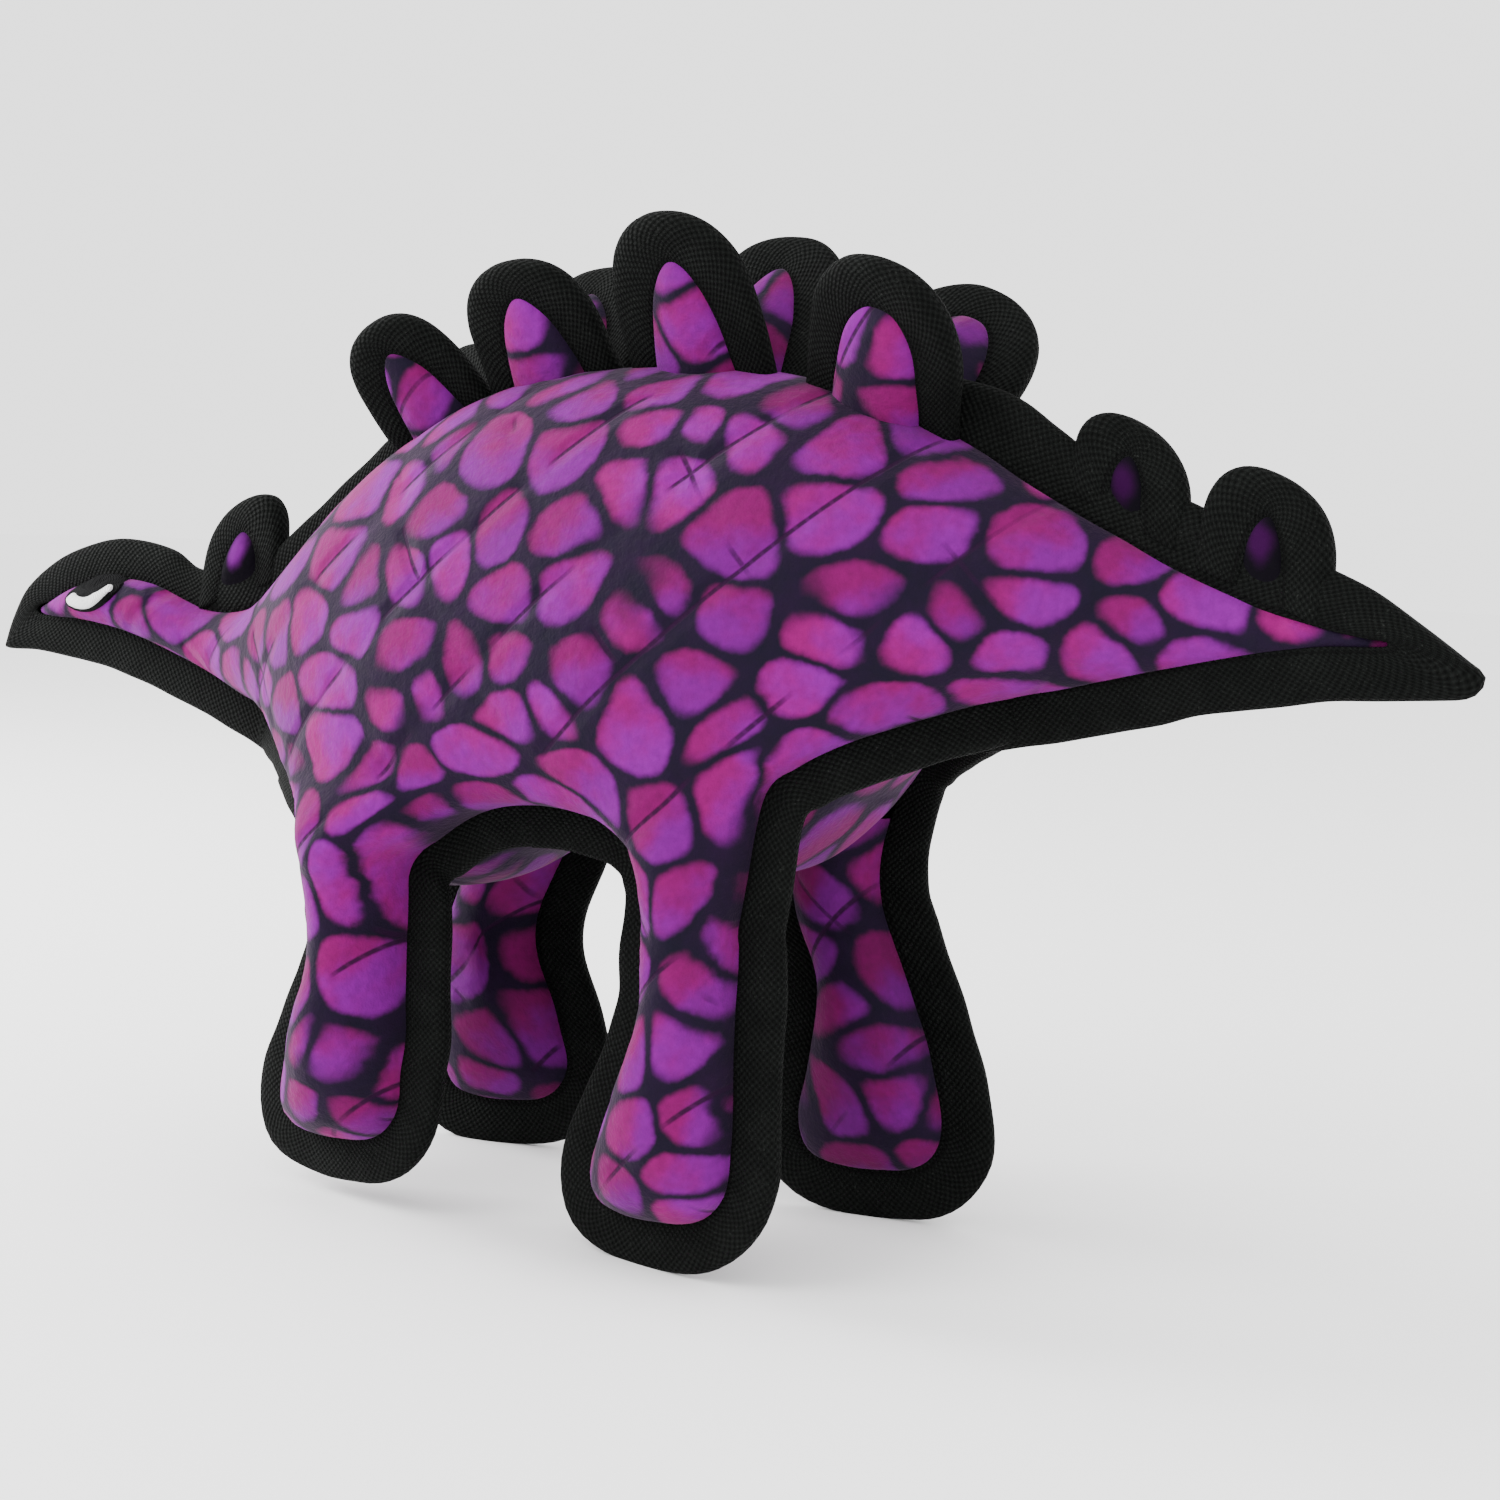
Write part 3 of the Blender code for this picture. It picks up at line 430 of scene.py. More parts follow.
def side_panel(side, surface):
    """The outer panel of one side, cut where it meets the head, tail and legs. Returns where it lies."""
    outline = seam_line(2.3)
    flat, faces, count = triangulate(outline, 2.9)
    fixed = np.zeros(len(flat), bool)
    fixed[:count] = True
    held = np.zeros(len(flat))
    held[:count] = outline[:, 2]
    seam = solve(flat, faces, fixed, held, 0.0)
    lift = solve(flat, faces, fixed, np.zeros(len(flat)), 1.0)
    reach = np.sqrt(np.maximum(2 * lift, 0))
    x, z = flat[:, 0], flat[:, 1]
    bulge = fullness(x, z) * reach
    edge = np.minimum(reach / 10, 1)
    where = np.stack([x, np.full(len(x), side * 40.0), z], axis=1)
    uneven = 1.1 * noise(where, 34, 3) + 0.5 * noise(where, 13, 5)
    bulge += edge * uneven - edge * 0.75 * quilt_depth(x, z)
    y = np.maximum(seam + bulge, 0)
    rest = np.stack([x, side * y, z], axis=1)
    points = settle(rest, side)
    turned = faces[:, ::-1] if (side > 0) == turns_left(flat, faces[0]) else faces
    normals = vertex_normals(points, turned)
    printed = unrolled(flat, faces, lift, fullness(x, z)) + (0, 330 * (side > 0))
    centre = rest[turned].mean(axis=1)
    side_name = SIDE_NAMES[side]
    zone = np.zeros(len(turned), int)
    zone[centre[:, 0] < NECK_BLEND[0] + 2] = 1
    zone[centre[:, 0] > TAIL_BLEND[0] - 2] = 2
    zone[(centre[:, 2] < HIP_BLEND[0] + 2) & (centre[:, 0] < 5)] = 3
    zone[(centre[:, 2] < HIP_BLEND[0] + 2) & (centre[:, 0] >= 5)] = 4
    names = {
        0: (f"side_panel_{side_name}", "torso", f"torso_cover_{side_name}"),
        1: (f"head_panel_{side_name}", "head", f"head_cover_{side_name}"),
        2: (f"tail_panel_{side_name}", "tail", f"tail_cover_{side_name}"),
    }
    for number, place in ((3, "front"), (4, "hind")):
        leg = f"leg_{place}_{side_name}"
        names[number] = (f"leg_panel_{place}_{side_name}", leg, f"{leg}_outer_cover")
    for number, (name, body, node) in names.items():
        used, small = part_of(points, turned, zone == number)
        obj = add_mesh(name, points[used], small, surface, rest[used], None, normals[used], printed[used])
        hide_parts(node)
        bend(obj, body)
    return rest


def inner_leg(place, side, surface):
    """The inner panel of a leg. Its top runs up inside the body."""
    leg = f"leg_{place}_{SIDE_NAMES[side]}"
    points = leg_outline(place)
    first, last = points[0], points[-1]
    points = [(first[0] + 1, INNER_TOP, first[2]), *points, (last[0] - 1, INNER_TOP, last[2])]
    edge = spline(points, 2.4)
    across = np.linspace(edge[-1, 0], edge[0, 0], 12)[1:-1]
    top = np.stack([across, np.full(10, INNER_TOP), np.full(10, LEG_SEAM_Y)], axis=1)
    outline = np.vstack([edge, top])
    flat, faces, _ = triangulate(outline, 3.2)
    fixed = np.zeros(len(flat), bool)
    fixed[: len(edge)] = True
    held = np.zeros(len(flat))
    held[: len(edge)] = edge[:, 2]
    seam = solve(flat, faces, fixed, held, 0.0)
    reach = np.sqrt(np.maximum(2 * solve(flat, faces, fixed, np.zeros(len(flat)), 1.0), 0))
    x, z = flat[:, 0], flat[:, 1]
    where = np.stack([x, np.full(len(x), side * 30.0), z], axis=1)
    bulge = (0.78 + 0.34 * smoothstep(z, 30, 62)) * reach
    bulge = bulge + np.minimum(reach / 10, 1) * 0.8 * noise(where, 17, 9)
    rest = np.stack([x, side * (seam - bulge), z], axis=1)
    p = settle(rest, side)
    if turns_left(flat, faces[0]) == (side < 0):
        faces = faces[:, ::-1]
    printed = flat + (0, 700 + 150 * side)
    name = f"leg_inner_{place}_{SIDE_NAMES[side]}"
    obj = add_mesh(name, p, faces, surface, rest, printed=printed)
    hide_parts(f"{leg}_inner_cover", f"{leg}_stuffing")
    bend(obj, leg)


BELLY = (  # x, z at the seam, half width, sag
    (-131, 138.5, 0.5, 0), (-118, 134.5, 9, 2), (-105, 129.5, 20, 7), (-91, 124.5, 32, 14),
    (-76, 117, 41, 20), (-60, 112, 44, 21), (-44, 110.5, 44, 18), (-30.5, 111.8, 44, 14),
    (-22, 117.5, 44, 13), (-12, 121.5, 44, 12.5), (0, 124, 44, 12), (13, 124.8, 44, 12),
    (26, 123.8, 44, 12), (37, 120.8, 44, 12),
    (50, 117, 44, 12), (64, 121, 44, 13), (77, 132, 42, 13), (86, 142, 38, 12), (96, 148.5, 30, 9),
    (108, 154, 19, 5), (119, 158.6, 8, 2), (129.5, 161.8, 0.5, 0),
)


def belly(surface):
    """The gusset under the body, from the chest to the tail."""
    rows = spline(BELLY, 3.2)
    count = 29
    points, faces = [], []
    for x, z, half, sag in rows:
        for j in range(count):
            s = 2 * j / (count - 1) - 1
            points.append((x, half * s, z - sag * (1 - abs(s) ** 2.2)))
    points = np.array(points)
    spread = np.abs(np.tile(np.linspace(-1, 1, count), len(rows)))
    uneven = noise(points, 21, 11) - 0.9 * quilt_depth(points[:, 0], points[:, 1])
    points[:, 2] += (1 - spread**4) * uneven
    for i in range(len(rows) - 1):
        for j in range(count - 1):
            a = i * count + j
            faces += [(a, a + 1, a + count + 1), (a, a + count + 1, a + count)]
    faces = np.array(faces)[:, ::-1]
    normals = vertex_normals(points, faces)
    centre = points[faces].mean(axis=1)[:, 0]
    ahead, behind = centre <= NECK_BLEND[0] + 2, centre >= TAIL_BLEND[0] - 2
    zones = (
        ("belly_panel", "torso", ~(ahead | behind), ("belly_gusset", "torso_stuffing")),
        ("belly_panel_front", "head", ahead, ("head_stuffing",)),
        ("belly_panel_rear", "tail", behind, ("tail_stuffing",)),
    )
    for name, body, chosen, nodes in zones:
        used, small = part_of(points, faces, chosen)
        printed = np.stack([points[used, 0], points[used, 1] * 1.1 + 1300], axis=1)
        obj = add_mesh(name, points[used], small, surface, normals=normals[used], printed=printed)
        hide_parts(*nodes)
        bend(obj, body)


# Webbing

WEB_SECTION = (  # across the fold: sideways, outwards, both as shares
    (0.50, 0.10), (0.72, 0.0), (0.94, 0.02), (1.0, 0.10), (1.06, 0.32), (1.08, 0.55), (1.02, 0.78),
    (0.80, 0.93), (0.42, 0.99), (0.0, 1.0), (-0.42, 0.99), (-0.80, 0.93), (-1.02, 0.78), (-1.08, 0.55),
    (-1.06, 0.32), (-1.0, 0.10), (-0.94, 0.02), (-0.72, 0.0), (-0.50, 0.10),
)


def strip(name, path, outer, surface, nodes, body, side=-1, half=2.7, across=None, under=1.2):
    """Webbing folded over a seam, from its stitched edge on the path out to its folded edge."""
    path, outer = np.asarray(path, float), np.asarray(outer, float)
    count = len(path)
    along = np.concatenate([[0], np.cumsum(np.linalg.norm(np.diff((path + outer) / 2, axis=0), axis=1))])
    reach = outer - path
    widths = np.linalg.norm(reach, axis=1)
    outward = reach / widths[:, None]
    if across is None:
        across = unit(np.cross(np.gradient(path, axis=0), outward))
    else:
        across = np.tile(across, (count, 1))
    seed = sum(ord(c) for c in name)
    line = np.stack([along, np.zeros(count), np.zeros(count)], axis=1)
    wave = noise(line, 11, seed)
    slow = noise(line, 31, seed + 1)
    section = np.array(WEB_SECTION)
    steps = np.diff(section * [half, widths.mean()], axis=0)
    lengths = np.concatenate([[0], np.cumsum(np.linalg.norm(steps, axis=1))])
    from_mouth = np.minimum(lengths, lengths[-1] - lengths)
    points, uv = [], []
    for i in range(count):
        length = widths[i] + under + 0.35 * wave[i] + 0.3 * slow[i]
        lean = 0.55 * slow[i] * section[:, 1:2] * across[i]
        sideways = across[i] * section[:, :1] * half * (1 + 0.10 * wave[i])
        points.append(path[i] + sideways + outward[i] * (section[:, 1:] * length - under) + lean)
        uv.append(np.stack([np.full(len(section), along[i] / 10), from_mouth / 10], axis=1))
    points, uv = np.vstack(points), np.vstack(uv)
    m = len(section)
    faces = []
    for i in range(count - 1):
        for j in range(m - 1):
            a = i * m + j
            faces.append((a, a + 1, a + m + 1, a + m))
    faces.append(tuple(range(m - 1, -1, -1)))
    faces.append(tuple((count - 1) * m + j for j in range(m)))
    settled = settle(points, side) if body.startswith("leg") else points
    obj = add_mesh(name, settled, faces, surface, rest=points, uv=uv)
    if nodes:
        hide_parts(*nodes)
    bend(obj, body)
    return obj


def outline_normals(outline):
    """Outward in the outline's plane, averaged over nine neighbours."""
    tangent = np.roll(outline, -1, axis=0) - np.roll(outline, 1, axis=0)
    n = unit(np.stack([-tangent[:, 1], tangent[:, 0]], axis=1))
    return unit(sum(np.roll(n, k, axis=0) for k in range(-4, 5)))


def pick(outline, start, end):
    """Places along the closed outline from the one nearest start to the one nearest end."""
    a = int(np.argmin(np.hypot(outline[:, 0] - start[0], outline[:, 1] - start[1])))
    b = int(np.argmin(np.hypot(outline[:, 0] - end[0], outline[:, 1] - end[1])))
    if b < a:
        b += len(outline)
    return np.arange(a, b + 1) % len(outline)


def seam_strips(surface):
    outline = seam_line(2.3)
    flat = outline_normals(outline)
    for side_name, side in SIDES.items():
        path = np.stack([outline[:, 0], side * outline[:, 2], outline[:, 1]], axis=1)
        # Along the belly the fold also leans out, and down a leg's front edge it leans in.
        tilt = np.where(outline[:, 2] > 1, 0.10, 0.0)
        on_leg = (outline[:, 1] < 108) & (outline[:, 2] > 20)
        centre = np.where(outline[:, 0] < 5, LEG_X["front"], LEG_X["hind"])
        lean_in = np.clip((outline[:, 0] - centre) / 14, -1, 1)
        lean_in = np.where(lean_in < 0, 0.12, 0.15) * lean_in
        tilt = np.where(on_leg, lean_in, tilt)
        window = np.hanning(21)[1:-1] / np.hanning(21).sum()
        tilt = np.convolve(np.pad(tilt, 9, mode="wrap"), window, mode="valid")
        out = np.stack([flat[:, 0], side * tilt, flat[:, 1]], axis=1)
        for place, start, end, above in (
            ("hind", (127, 161.2), (4, 124.4), "rump"),
            ("front", (9, 124.6), (-104, 129.2), "belly"),
        ):
            nodes = (f"leg_{place}_{side_name}_binding", f"{above}_binding_{side_name}")
            chosen = pick(outline, start, end)
            width = np.where(on_leg, 1.04, 0.86)
            width = np.convolve(np.pad(width, 8, mode="wrap"), np.ones(17) / 17, mode="valid")
            name = f"leg_webbing_{place}_{side_name}"
            outer = path[chosen] + unit(out[chosen]) * WEB_WIDTH * width[chosen, None]
            strip(name, path[chosen], outer, surface, nodes, f"leg_{place}_{side_name}", side)
        chosen = pick(outline, (-102.5, 128.6), (-133, 139.5))
        name = f"chest_webbing_{side_name}"
        wide = 0.86 + 0.14 * smoothstep(-outline[chosen, 0], 108, 126)
        outer = path[chosen] + unit(out[chosen]) * WEB_WIDTH * wide[:, None]
        strip(name, path[chosen], outer, surface, (f"chest_binding_{side_name}",), "head", side)
    for name, band, nodes, body in (
        ("head_webbing", HEAD_BAND, ("head_binding", "nape_binding"), "head"),
        ("tail_webbing", TAIL_BAND, ("tail_binding",), "tail"),
    ):
        rows = spline(band, 2.6)
        path = np.stack([rows[:, 0], np.zeros(len(rows)), rows[:, 1]], axis=1)
        outer = np.stack([rows[:, 2], np.zeros(len(rows)), rows[:, 3]], axis=1)
        strip(name, path, outer, surface, nodes, body, half=3.0, across=(0.0, -1.0, 0.0))


# Plates


def plate(name, origin, along, up, size, surface, cloth, nodes, body, seam, spot=None):
    """A stuffed plate: two crowned faces, and webbing folded over its edge."""
    half, height = size[0] / 2, size[1]
    rows = []
    for (ea, eb), (sa, sb) in zip(PLATE_EDGE, seam):
        rows.append((half * sa, height * sb, half * ea, height * eb))
    rows = spline(rows + [(-a, b, -c, d) for a, b, c, d in rows[-2::-1]], 2.2)
    outline = rows[:, :2]
    foot = np.linspace(outline[-1, 0], outline[0, 0], 14)[1:-1]
    closing = np.stack([foot, np.full(12, outline[0, 1])], axis=1)
    origin, along, up = (np.array(v, float) for v in (origin, along, up))
    across = np.cross(along, up)
    across /= np.linalg.norm(across)
    flat, faces, _ = triangulate(np.vstack([outline, closing]), 2.2, rings=(0.2, 0.8, 1.8))
    fixed = np.zeros(len(flat), bool)
    fixed[: len(outline)] = True
    reach = np.sqrt(np.maximum(2 * solve(flat, faces, fixed, np.zeros(len(flat)), 1.0), 0))
    base = origin + flat[:, :1] * along + flat[:, 1:] * up
    if not turns_left(flat, faces[0]):
        faces = faces[:, ::-1]
    bulge = 2.5 + 0.5 * reach
    if spot:  # the foot of a small plate goes into the webbing below it
        bulge = bulge * (0.45 + 0.55 * smoothstep(flat[:, 1], -2.0, 9.0))
    bulge = bulge[:, None] * across
    points = np.vstack([base + bulge, base - bulge])
    both = np.vstack([faces, faces[:, ::-1] + len(flat)])
    printed = np.vstack([flat, flat + (90, 0)]) + (origin[0] * 3, origin[2] + origin[1] * 9)
    if spot:
        printed = np.vstack([flat, flat]) - spot
    pad = add_mesh(name + "_pad", points, both, cloth, printed=printed)
    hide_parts(nodes[0])
    bend(pad, body)
    path = origin + rows[:, :1] * along + rows[:, 1:2] * up
    outer = origin + rows[:, 2:3] * along + rows[:, 3:] * up
    strip(name + "_webbing", path, outer, surface, nodes[1:], body, half=3.3, across=across, under=1.0)


def back_plates(surface, cloths):
    """Two rows of four, on either side of the back's seam. The right row's cloth is darker: painted shade."""
    spine = spline(TOP_SEAM, 1.0)
    for number, spec in enumerate(PLATES, start=1):
        for side_name, side in SIDES.items():
            back, taller = spec["right"] if side > 0 else (0.0, 0.0)
            i = int(np.argmin(np.abs(spine[:, 0] - spec["x"] - back)))
            slope = spine[i + 8, :2] - spine[i - 8, :2]
            slope /= np.linalg.norm(slope)
            along = np.array([slope[0], 0, slope[1]])
            normal = np.array([-slope[1], 0, slope[0]])
            lean, tilt = math.radians(spec["lean"]), math.radians(spec["tilt"])
            up = normal * math.cos(lean) + np.array([0, side, 0]) * math.sin(lean)
            c, s = math.cos(tilt), math.sin(tilt)
            along, up = along * c + up * s, up * c - along * s
            origin = np.array([spec["x"] + back, side * 6.0, spine[i, 1]])
            nodes = (f"back_plate_{side_name}_{number}", f"back_plate_binding_{side_name}_{number}")
            size = (spec["width"], spec["height"] + taller)
            seam = LAST_SEAM if number == len(PLATES) else PLATE_SEAM
            # The right row gets the darker copy of the fleece: painted shade.
            name, cloth = f"plate_{side_name}_{number}", cloths[side_name]
            plate(name, origin, along, up, size, surface, cloth, nodes, "torso", seam)


SMALL_PLATES = (  # body, foot, along, up, size; how wide the pad shows, and its spot's place and strength
    ("neck_plate", "head", (-147, 0, 177.5), (0.95, 0, 0.31), (0.1, 0, 0.99), (34.5, 29), 0.92, (0.2, 11.5),
     0.9),
    ("tail_plate_1", "tail", (158, 0, 213), (0.91, 0, -0.41), (0.08, 0, 1), (36, 23.5), 0.62, (-1, 7), 0.16),
    ("tail_plate_2", "tail", (196, 0, 196), (0.93, 0, -0.37), (0.10, 0, 1), (38, 28), 0.62, (-1, 10), 0.19),
)


def small_plates(surface):
    """The single plates on the centre line, mostly webbing."""
    for name, body, origin, along, up, size, narrow, spot, strength in SMALL_PLATES:
        seam = [(a * narrow, b * 0.86) for a, b in PLATE_SEAM]
        cloth = spotted_material(name + "_fleece", strength)
        plate(name + "_cloth", origin, along, up, size, surface, cloth, (name,), body, seam, spot)


# Eyes


def eye(side, rest, black, white):
    """A stitched patch on the cheek: a black almond with a white crescent low in it."""
    side_name = SIDE_NAMES[side]
    near = rest[rest[:, 0] < -175]

    def cheek(x, z):
        d = (near[:, 0] - x) ** 2 + (near[:, 2] - z) ** 2 + 0.05
        best = np.argsort(d)[:5]
        return float((near[best, 1] / d[best]).sum() / (1 / d[best]).sum())

    centre, turn = (-205.5, 172.6), math.radians(14)

    def patch(name, loops, lift, surface):
        points = []
        for ring in loops:
            for a, b, up in ring:
                x = centre[0] + a * math.cos(turn) - b * math.sin(turn)
                z = centre[1] + a * math.sin(turn) + b * math.cos(turn)
                points.append((x, cheek(x, z) + side * (lift + up), z))
        m = len(loops[0])
        faces = []
        for i in range(len(loops) - 1):
            for j in range(m):
                k = (j + 1) % m
                face = (i * m + j, i * m + k, (i + 1) * m + k, (i + 1) * m + j)
                faces.append(face if side < 0 else face[::-1])
        cap = tuple((len(loops) - 1) * m + j for j in range(m))
        faces.append(cap if side < 0 else cap[::-1])
        obj = add_mesh(name, points, faces, surface)
        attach(obj, "head")
        return obj

    def almond(a, b, up):
        return [(a * math.cos(t), b * math.sin(t), up) for t in (2 * math.pi * i / 40 for i in range(40))]

    rings = ((13.2, 6.6, -1.6), (13.0, 6.5, 0.2), (12.2, 5.8, 0.7), (7, 3.2, 0.9), (1.5, 0.8, 0.9))
    dark = [almond(*ring) for ring in rings]
    patch(f"eye_patch_{side_name}", dark, 0.8, black)

    def crescent(wide, up):
        """The white below the pupil: an arc with rounded ends."""
        t = np.linspace(-1, 1, 29)
        line = np.stack([8.4 * t, -3.7 + 2.7 * t * t], axis=1)
        ahead = unit(np.stack([np.full(29, 8.4), 5.4 * t], axis=1))
        beside = np.stack([ahead[:, 1], -ahead[:, 0]], axis=1)
        half = (wide * (1.08 - 0.12 * t))[:, None]
        turn = np.linspace(0, math.pi, 9)[1:-1, None]
        tip = line[-1] + half[-1] * (np.cos(turn) * beside[-1] + np.sin(turn) * ahead[-1])
        heel = line[0] - half[0] * (np.cos(turn) * beside[0] + np.sin(turn) * ahead[0])
        ring = np.vstack([line + half * beside, tip, (line - half * beside)[::-1], heel])
        return [(a, b, up) for a, b in ring]

    white_rings = [crescent(1.75, 0.0), crescent(1.75, 0.9), crescent(1.3, 1.3)]
    obj = patch(f"eye_white_{side_name}", white_rings, 1.4, white)
    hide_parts(f"eye_{side_name}")


# Materials


def new_material(name):
    found = bpy.data.materials.new(name)
    found.use_nodes = True
    tree = found.node_tree
    return found, tree, tree.nodes["Principled BSDF"]


class Nodes:
    """Short calls for wiring a material."""

    def __init__(self, tree):
        self.tree = tree

    def node(self, kind, inputs=None, **settings):
        made = self.tree.nodes.new(kind)
        for key, value in settings.items():
            setattr(made, key, value)
        for key, value in (inputs or {}).items():
            if isinstance(value, bpy.types.NodeSocket):
                self.tree.links.new(value, made.inputs[key])
            else:
                made.inputs[key].default_value = value
        return made

    def read(self, attribute):
        return self.node("ShaderNodeAttribute", attribute_name=attribute).outputs["Vector"]

    def noise(self, place, scale, detail, output="Fac"):
        made = self.node("ShaderNodeTexNoise", {"Vector": place, "Scale": scale, "Detail": detail})
        return made.outputs[output]

    def shifted(self, place, scale, detail, amount):
        """A small random shift, the same in every view."""
        colour = self.noise(place, scale, detail, "Color")
        return self.vector("SCALE", self.vector("SUBTRACT", colour, (0.5, 0.5, 0.5)), scale=amount)

    def math(self, operation, a, b=0.0, c=0.0):
        return self.node("ShaderNodeMath", {0: a, 1: b, 2: c}, operation=operation).outputs[0]

    def vector(self, operation, a, b=(0, 0, 0), scale=1.0):
        made = self.node("ShaderNodeVectorMath", {0: a, 1: b}, operation=operation)
        made.inputs[3].default_value = scale
        return made.outputs["Value"] if operation == "DOT_PRODUCT" else made.outputs[0]

    def mix(self, factor, a, b):
        made = self.node("ShaderNodeMix", data_type="RGBA")
        for index, value in ((0, factor), (6, a), (7, b)):
            if isinstance(value, bpy.types.NodeSocket):
                self.tree.links.new(value, made.inputs[index])
            else:
                made.inputs[index].default_value = value
        return made.outputs[2]

    def ramp(self, value, low, high):
        inputs = {0: value, 1: low, 2: high, 3: 0.0, 4: 1.0}
        return self.node("ShaderNodeMapRange", inputs, interpolation_type="SMOOTHSTEP").outputs[0]

    def toned(self, colour, value):
        return self.node("ShaderNodeHueSaturation", {"Color": colour, "Value": value}).outputs[0]

    def bump(self, shader, height, strength, distance):
        inputs = {"Height": height, "Strength": strength, "Distance": distance}
        self.tree.links.new(self.node("ShaderNodeBump", inputs).outputs[0], shader.inputs["Normal"])


PRINT_SCALE = 52.0  # patches of the print per metre
PINK, VIOLET = (0.160, 0.0012, 0.086), (0.142, 0.0009, 0.178)
GAP_BLUE, GAP_PLUM = (0.0015, 0.003, 0.006, 1), (0.010, 0.002, 0.016, 1)
PILE_SHINE = 0.09
WEB_SHINE = 0.035


def fleece_material(name, shade=1.0):
    """Short pile printed with rounded patches, dark between them, and quilted in diamonds."""
    material, tree, shader = new_material(name)
    n = Nodes(tree)
    rest = n.read("rest")
    shift = n.shifted(rest, 24.0, 2.0, 0.012)
    fuzz = n.shifted(rest, 300.0, 2.0, 0.0016)
    printed = n.read("print")
    moved = n.vector("ADD", n.vector("ADD", printed, shift), fuzz)
    flat = n.vector("MULTIPLY", moved, (0.90, 0.96, 0.0))
    cells = {"Vector": flat, "Scale": PRINT_SCALE, "Randomness": 0.92}
    flags = {"voronoi_dimensions": "2D"}
    centre = n.node("ShaderNodeTexVoronoi", cells, feature="F1", **flags)
    blended = n.node("ShaderNodeTexVoronoi", {**cells, "Smoothness": 1.0}, feature="SMOOTH_F1", **flags)
    crowd = n.math("SUBTRACT", centre.outputs["Distance"], blended.outputs["Distance"])
    # The gaps are wider in some places
    spread = n.math("SUBTRACT", n.noise(rest, 55.0, 1.0), 0.5)
    patch = n.ramp(n.math("MULTIPLY_ADD", spread, 0.09, crowd), 0.110, 0.012)
    # Each patch turns from pink to violet across it
    away = n.vector("SCALE", n.vector("SUBTRACT", flat, centre.outputs["Position"]), scale=PRINT_SCALE)
    tilt = n.vector("SUBTRACT", centre.outputs["Color"], (0.5, 0.5, 0.5))
    across = n.vector("DOT_PRODUCT", away, n.vector("ADD", tilt, (0.45, -0.3, 0.0)))
    cloud = n.noise(rest, 95.0, 3.0)
    side = n.ramp(n.math("MULTIPLY_ADD", across, 1.3, cloud), 0.16, 0.80)
    # A shade below 1 darkens the whole print: painted shade, for cloth that lies in shadow.
    pink, violet = (tuple(c * shade for c in colour) + (1,) for colour in (PINK, VIOLET))
    bright = n.mix(side, pink, violet)
    hue = n.node("ShaderNodeSeparateColor", {0: centre.outputs["Color"]})
    value = n.math("MULTIPLY_ADD", hue.outputs[1], 0.34, 0.64)
    bright = n.toned(bright, value)
    colour = n.mix(patch, n.mix(cloud, GAP_BLUE, GAP_PLUM), bright)
    # Quilting thread: fine dark dashes along the diamonds' lines
    place = n.node("ShaderNodeSeparateXYZ", {0: rest})
    x, z = place.outputs[0], place.outputs[2]
    line = groove = None
    shown = n.noise(rest, 38.0, 1.0)
    for (sign, pitch, offset), low in zip(QUILTING, (0.53, 0.41)):
        pitch, offset = pitch * MM, offset * MM
        a = n.math("MULTIPLY_ADD", z, UPWARD * sign / pitch, offset / pitch)
        u = n.math("MULTIPLY_ADD", x, ACROSS / pitch, a)
        far = n.math("ABSOLUTE", n.math("SUBTRACT", u, n.math("ROUND", u)))
        seen = n.ramp(shown, low, low + 0.13)
        thread = n.math("MULTIPLY", n.ramp(n.math("MULTIPLY", far, pitch), 0.0009, 0.0003), seen)
        b = n.math("MULTIPLY", z, ACROSS * STITCHES)
        v = n.math("MULTIPLY_ADD", x, -UPWARD * STITCHES * sign, b)
        dash = n.ramp(n.math("SINE", n.math("MULTIPLY", v, TURN)), -0.9, -0.3)
        dip = n.math("MULTIPLY", n.ramp(n.math("MULTIPLY", far, pitch), 0.0042, 0.0), seen)
        groove = dip if groove is None else n.math("MAXIMUM", groove, dip)
        drawn = n.math("MULTIPLY", thread, n.math("MULTIPLY_ADD", dash, 0.15, 0.85))
        line = drawn if line is None else n.math("MAXIMUM", line, drawn)
    line = n.math("MULTIPLY", line, n.ramp(n.math("ABSOLUTE", n.math("ADD", x, 0.01)), 0.16, 0.12))
    colour = n.mix(n.math("MULTIPLY", line, 0.9), colour, (0.012, 0.001, 0.014, 1))
    pile = n.noise(rest, 1500.0, 2.0)
    tuft = n.noise(rest, 420.0, 3.0)
    colour = n.toned(colour, n.math("MULTIPLY_ADD", tuft, 0.5, 0.75))
    tree.links.new(colour, shader.inputs["Base Color"])
    height = n.math("ADD", n.math("MULTIPLY", pile, 0.35), n.math("MULTIPLY", tuft, 0.9))
    height = n.math("SUBTRACT", height, n.math("MULTIPLY_ADD", groove, 2.2, n.math("MULTIPLY", line, 0.5)))
    n.bump(shader, height, 0.55, 0.0007)
    tree.links.new(n.math("MULTIPLY_ADD", tuft, 0.16, 0.78), shader.inputs["Roughness"])
    shader.inputs["Specular IOR Level"].default_value = PILE_SHINE
    shader.inputs["Sheen Weight"].default_value = 0.08
    shader.inputs["Sheen Roughness"].default_value = 0.42
    shader.inputs["Sheen Tint"].default_value = (1.0, 0.62, 0.95, 1)
    return material


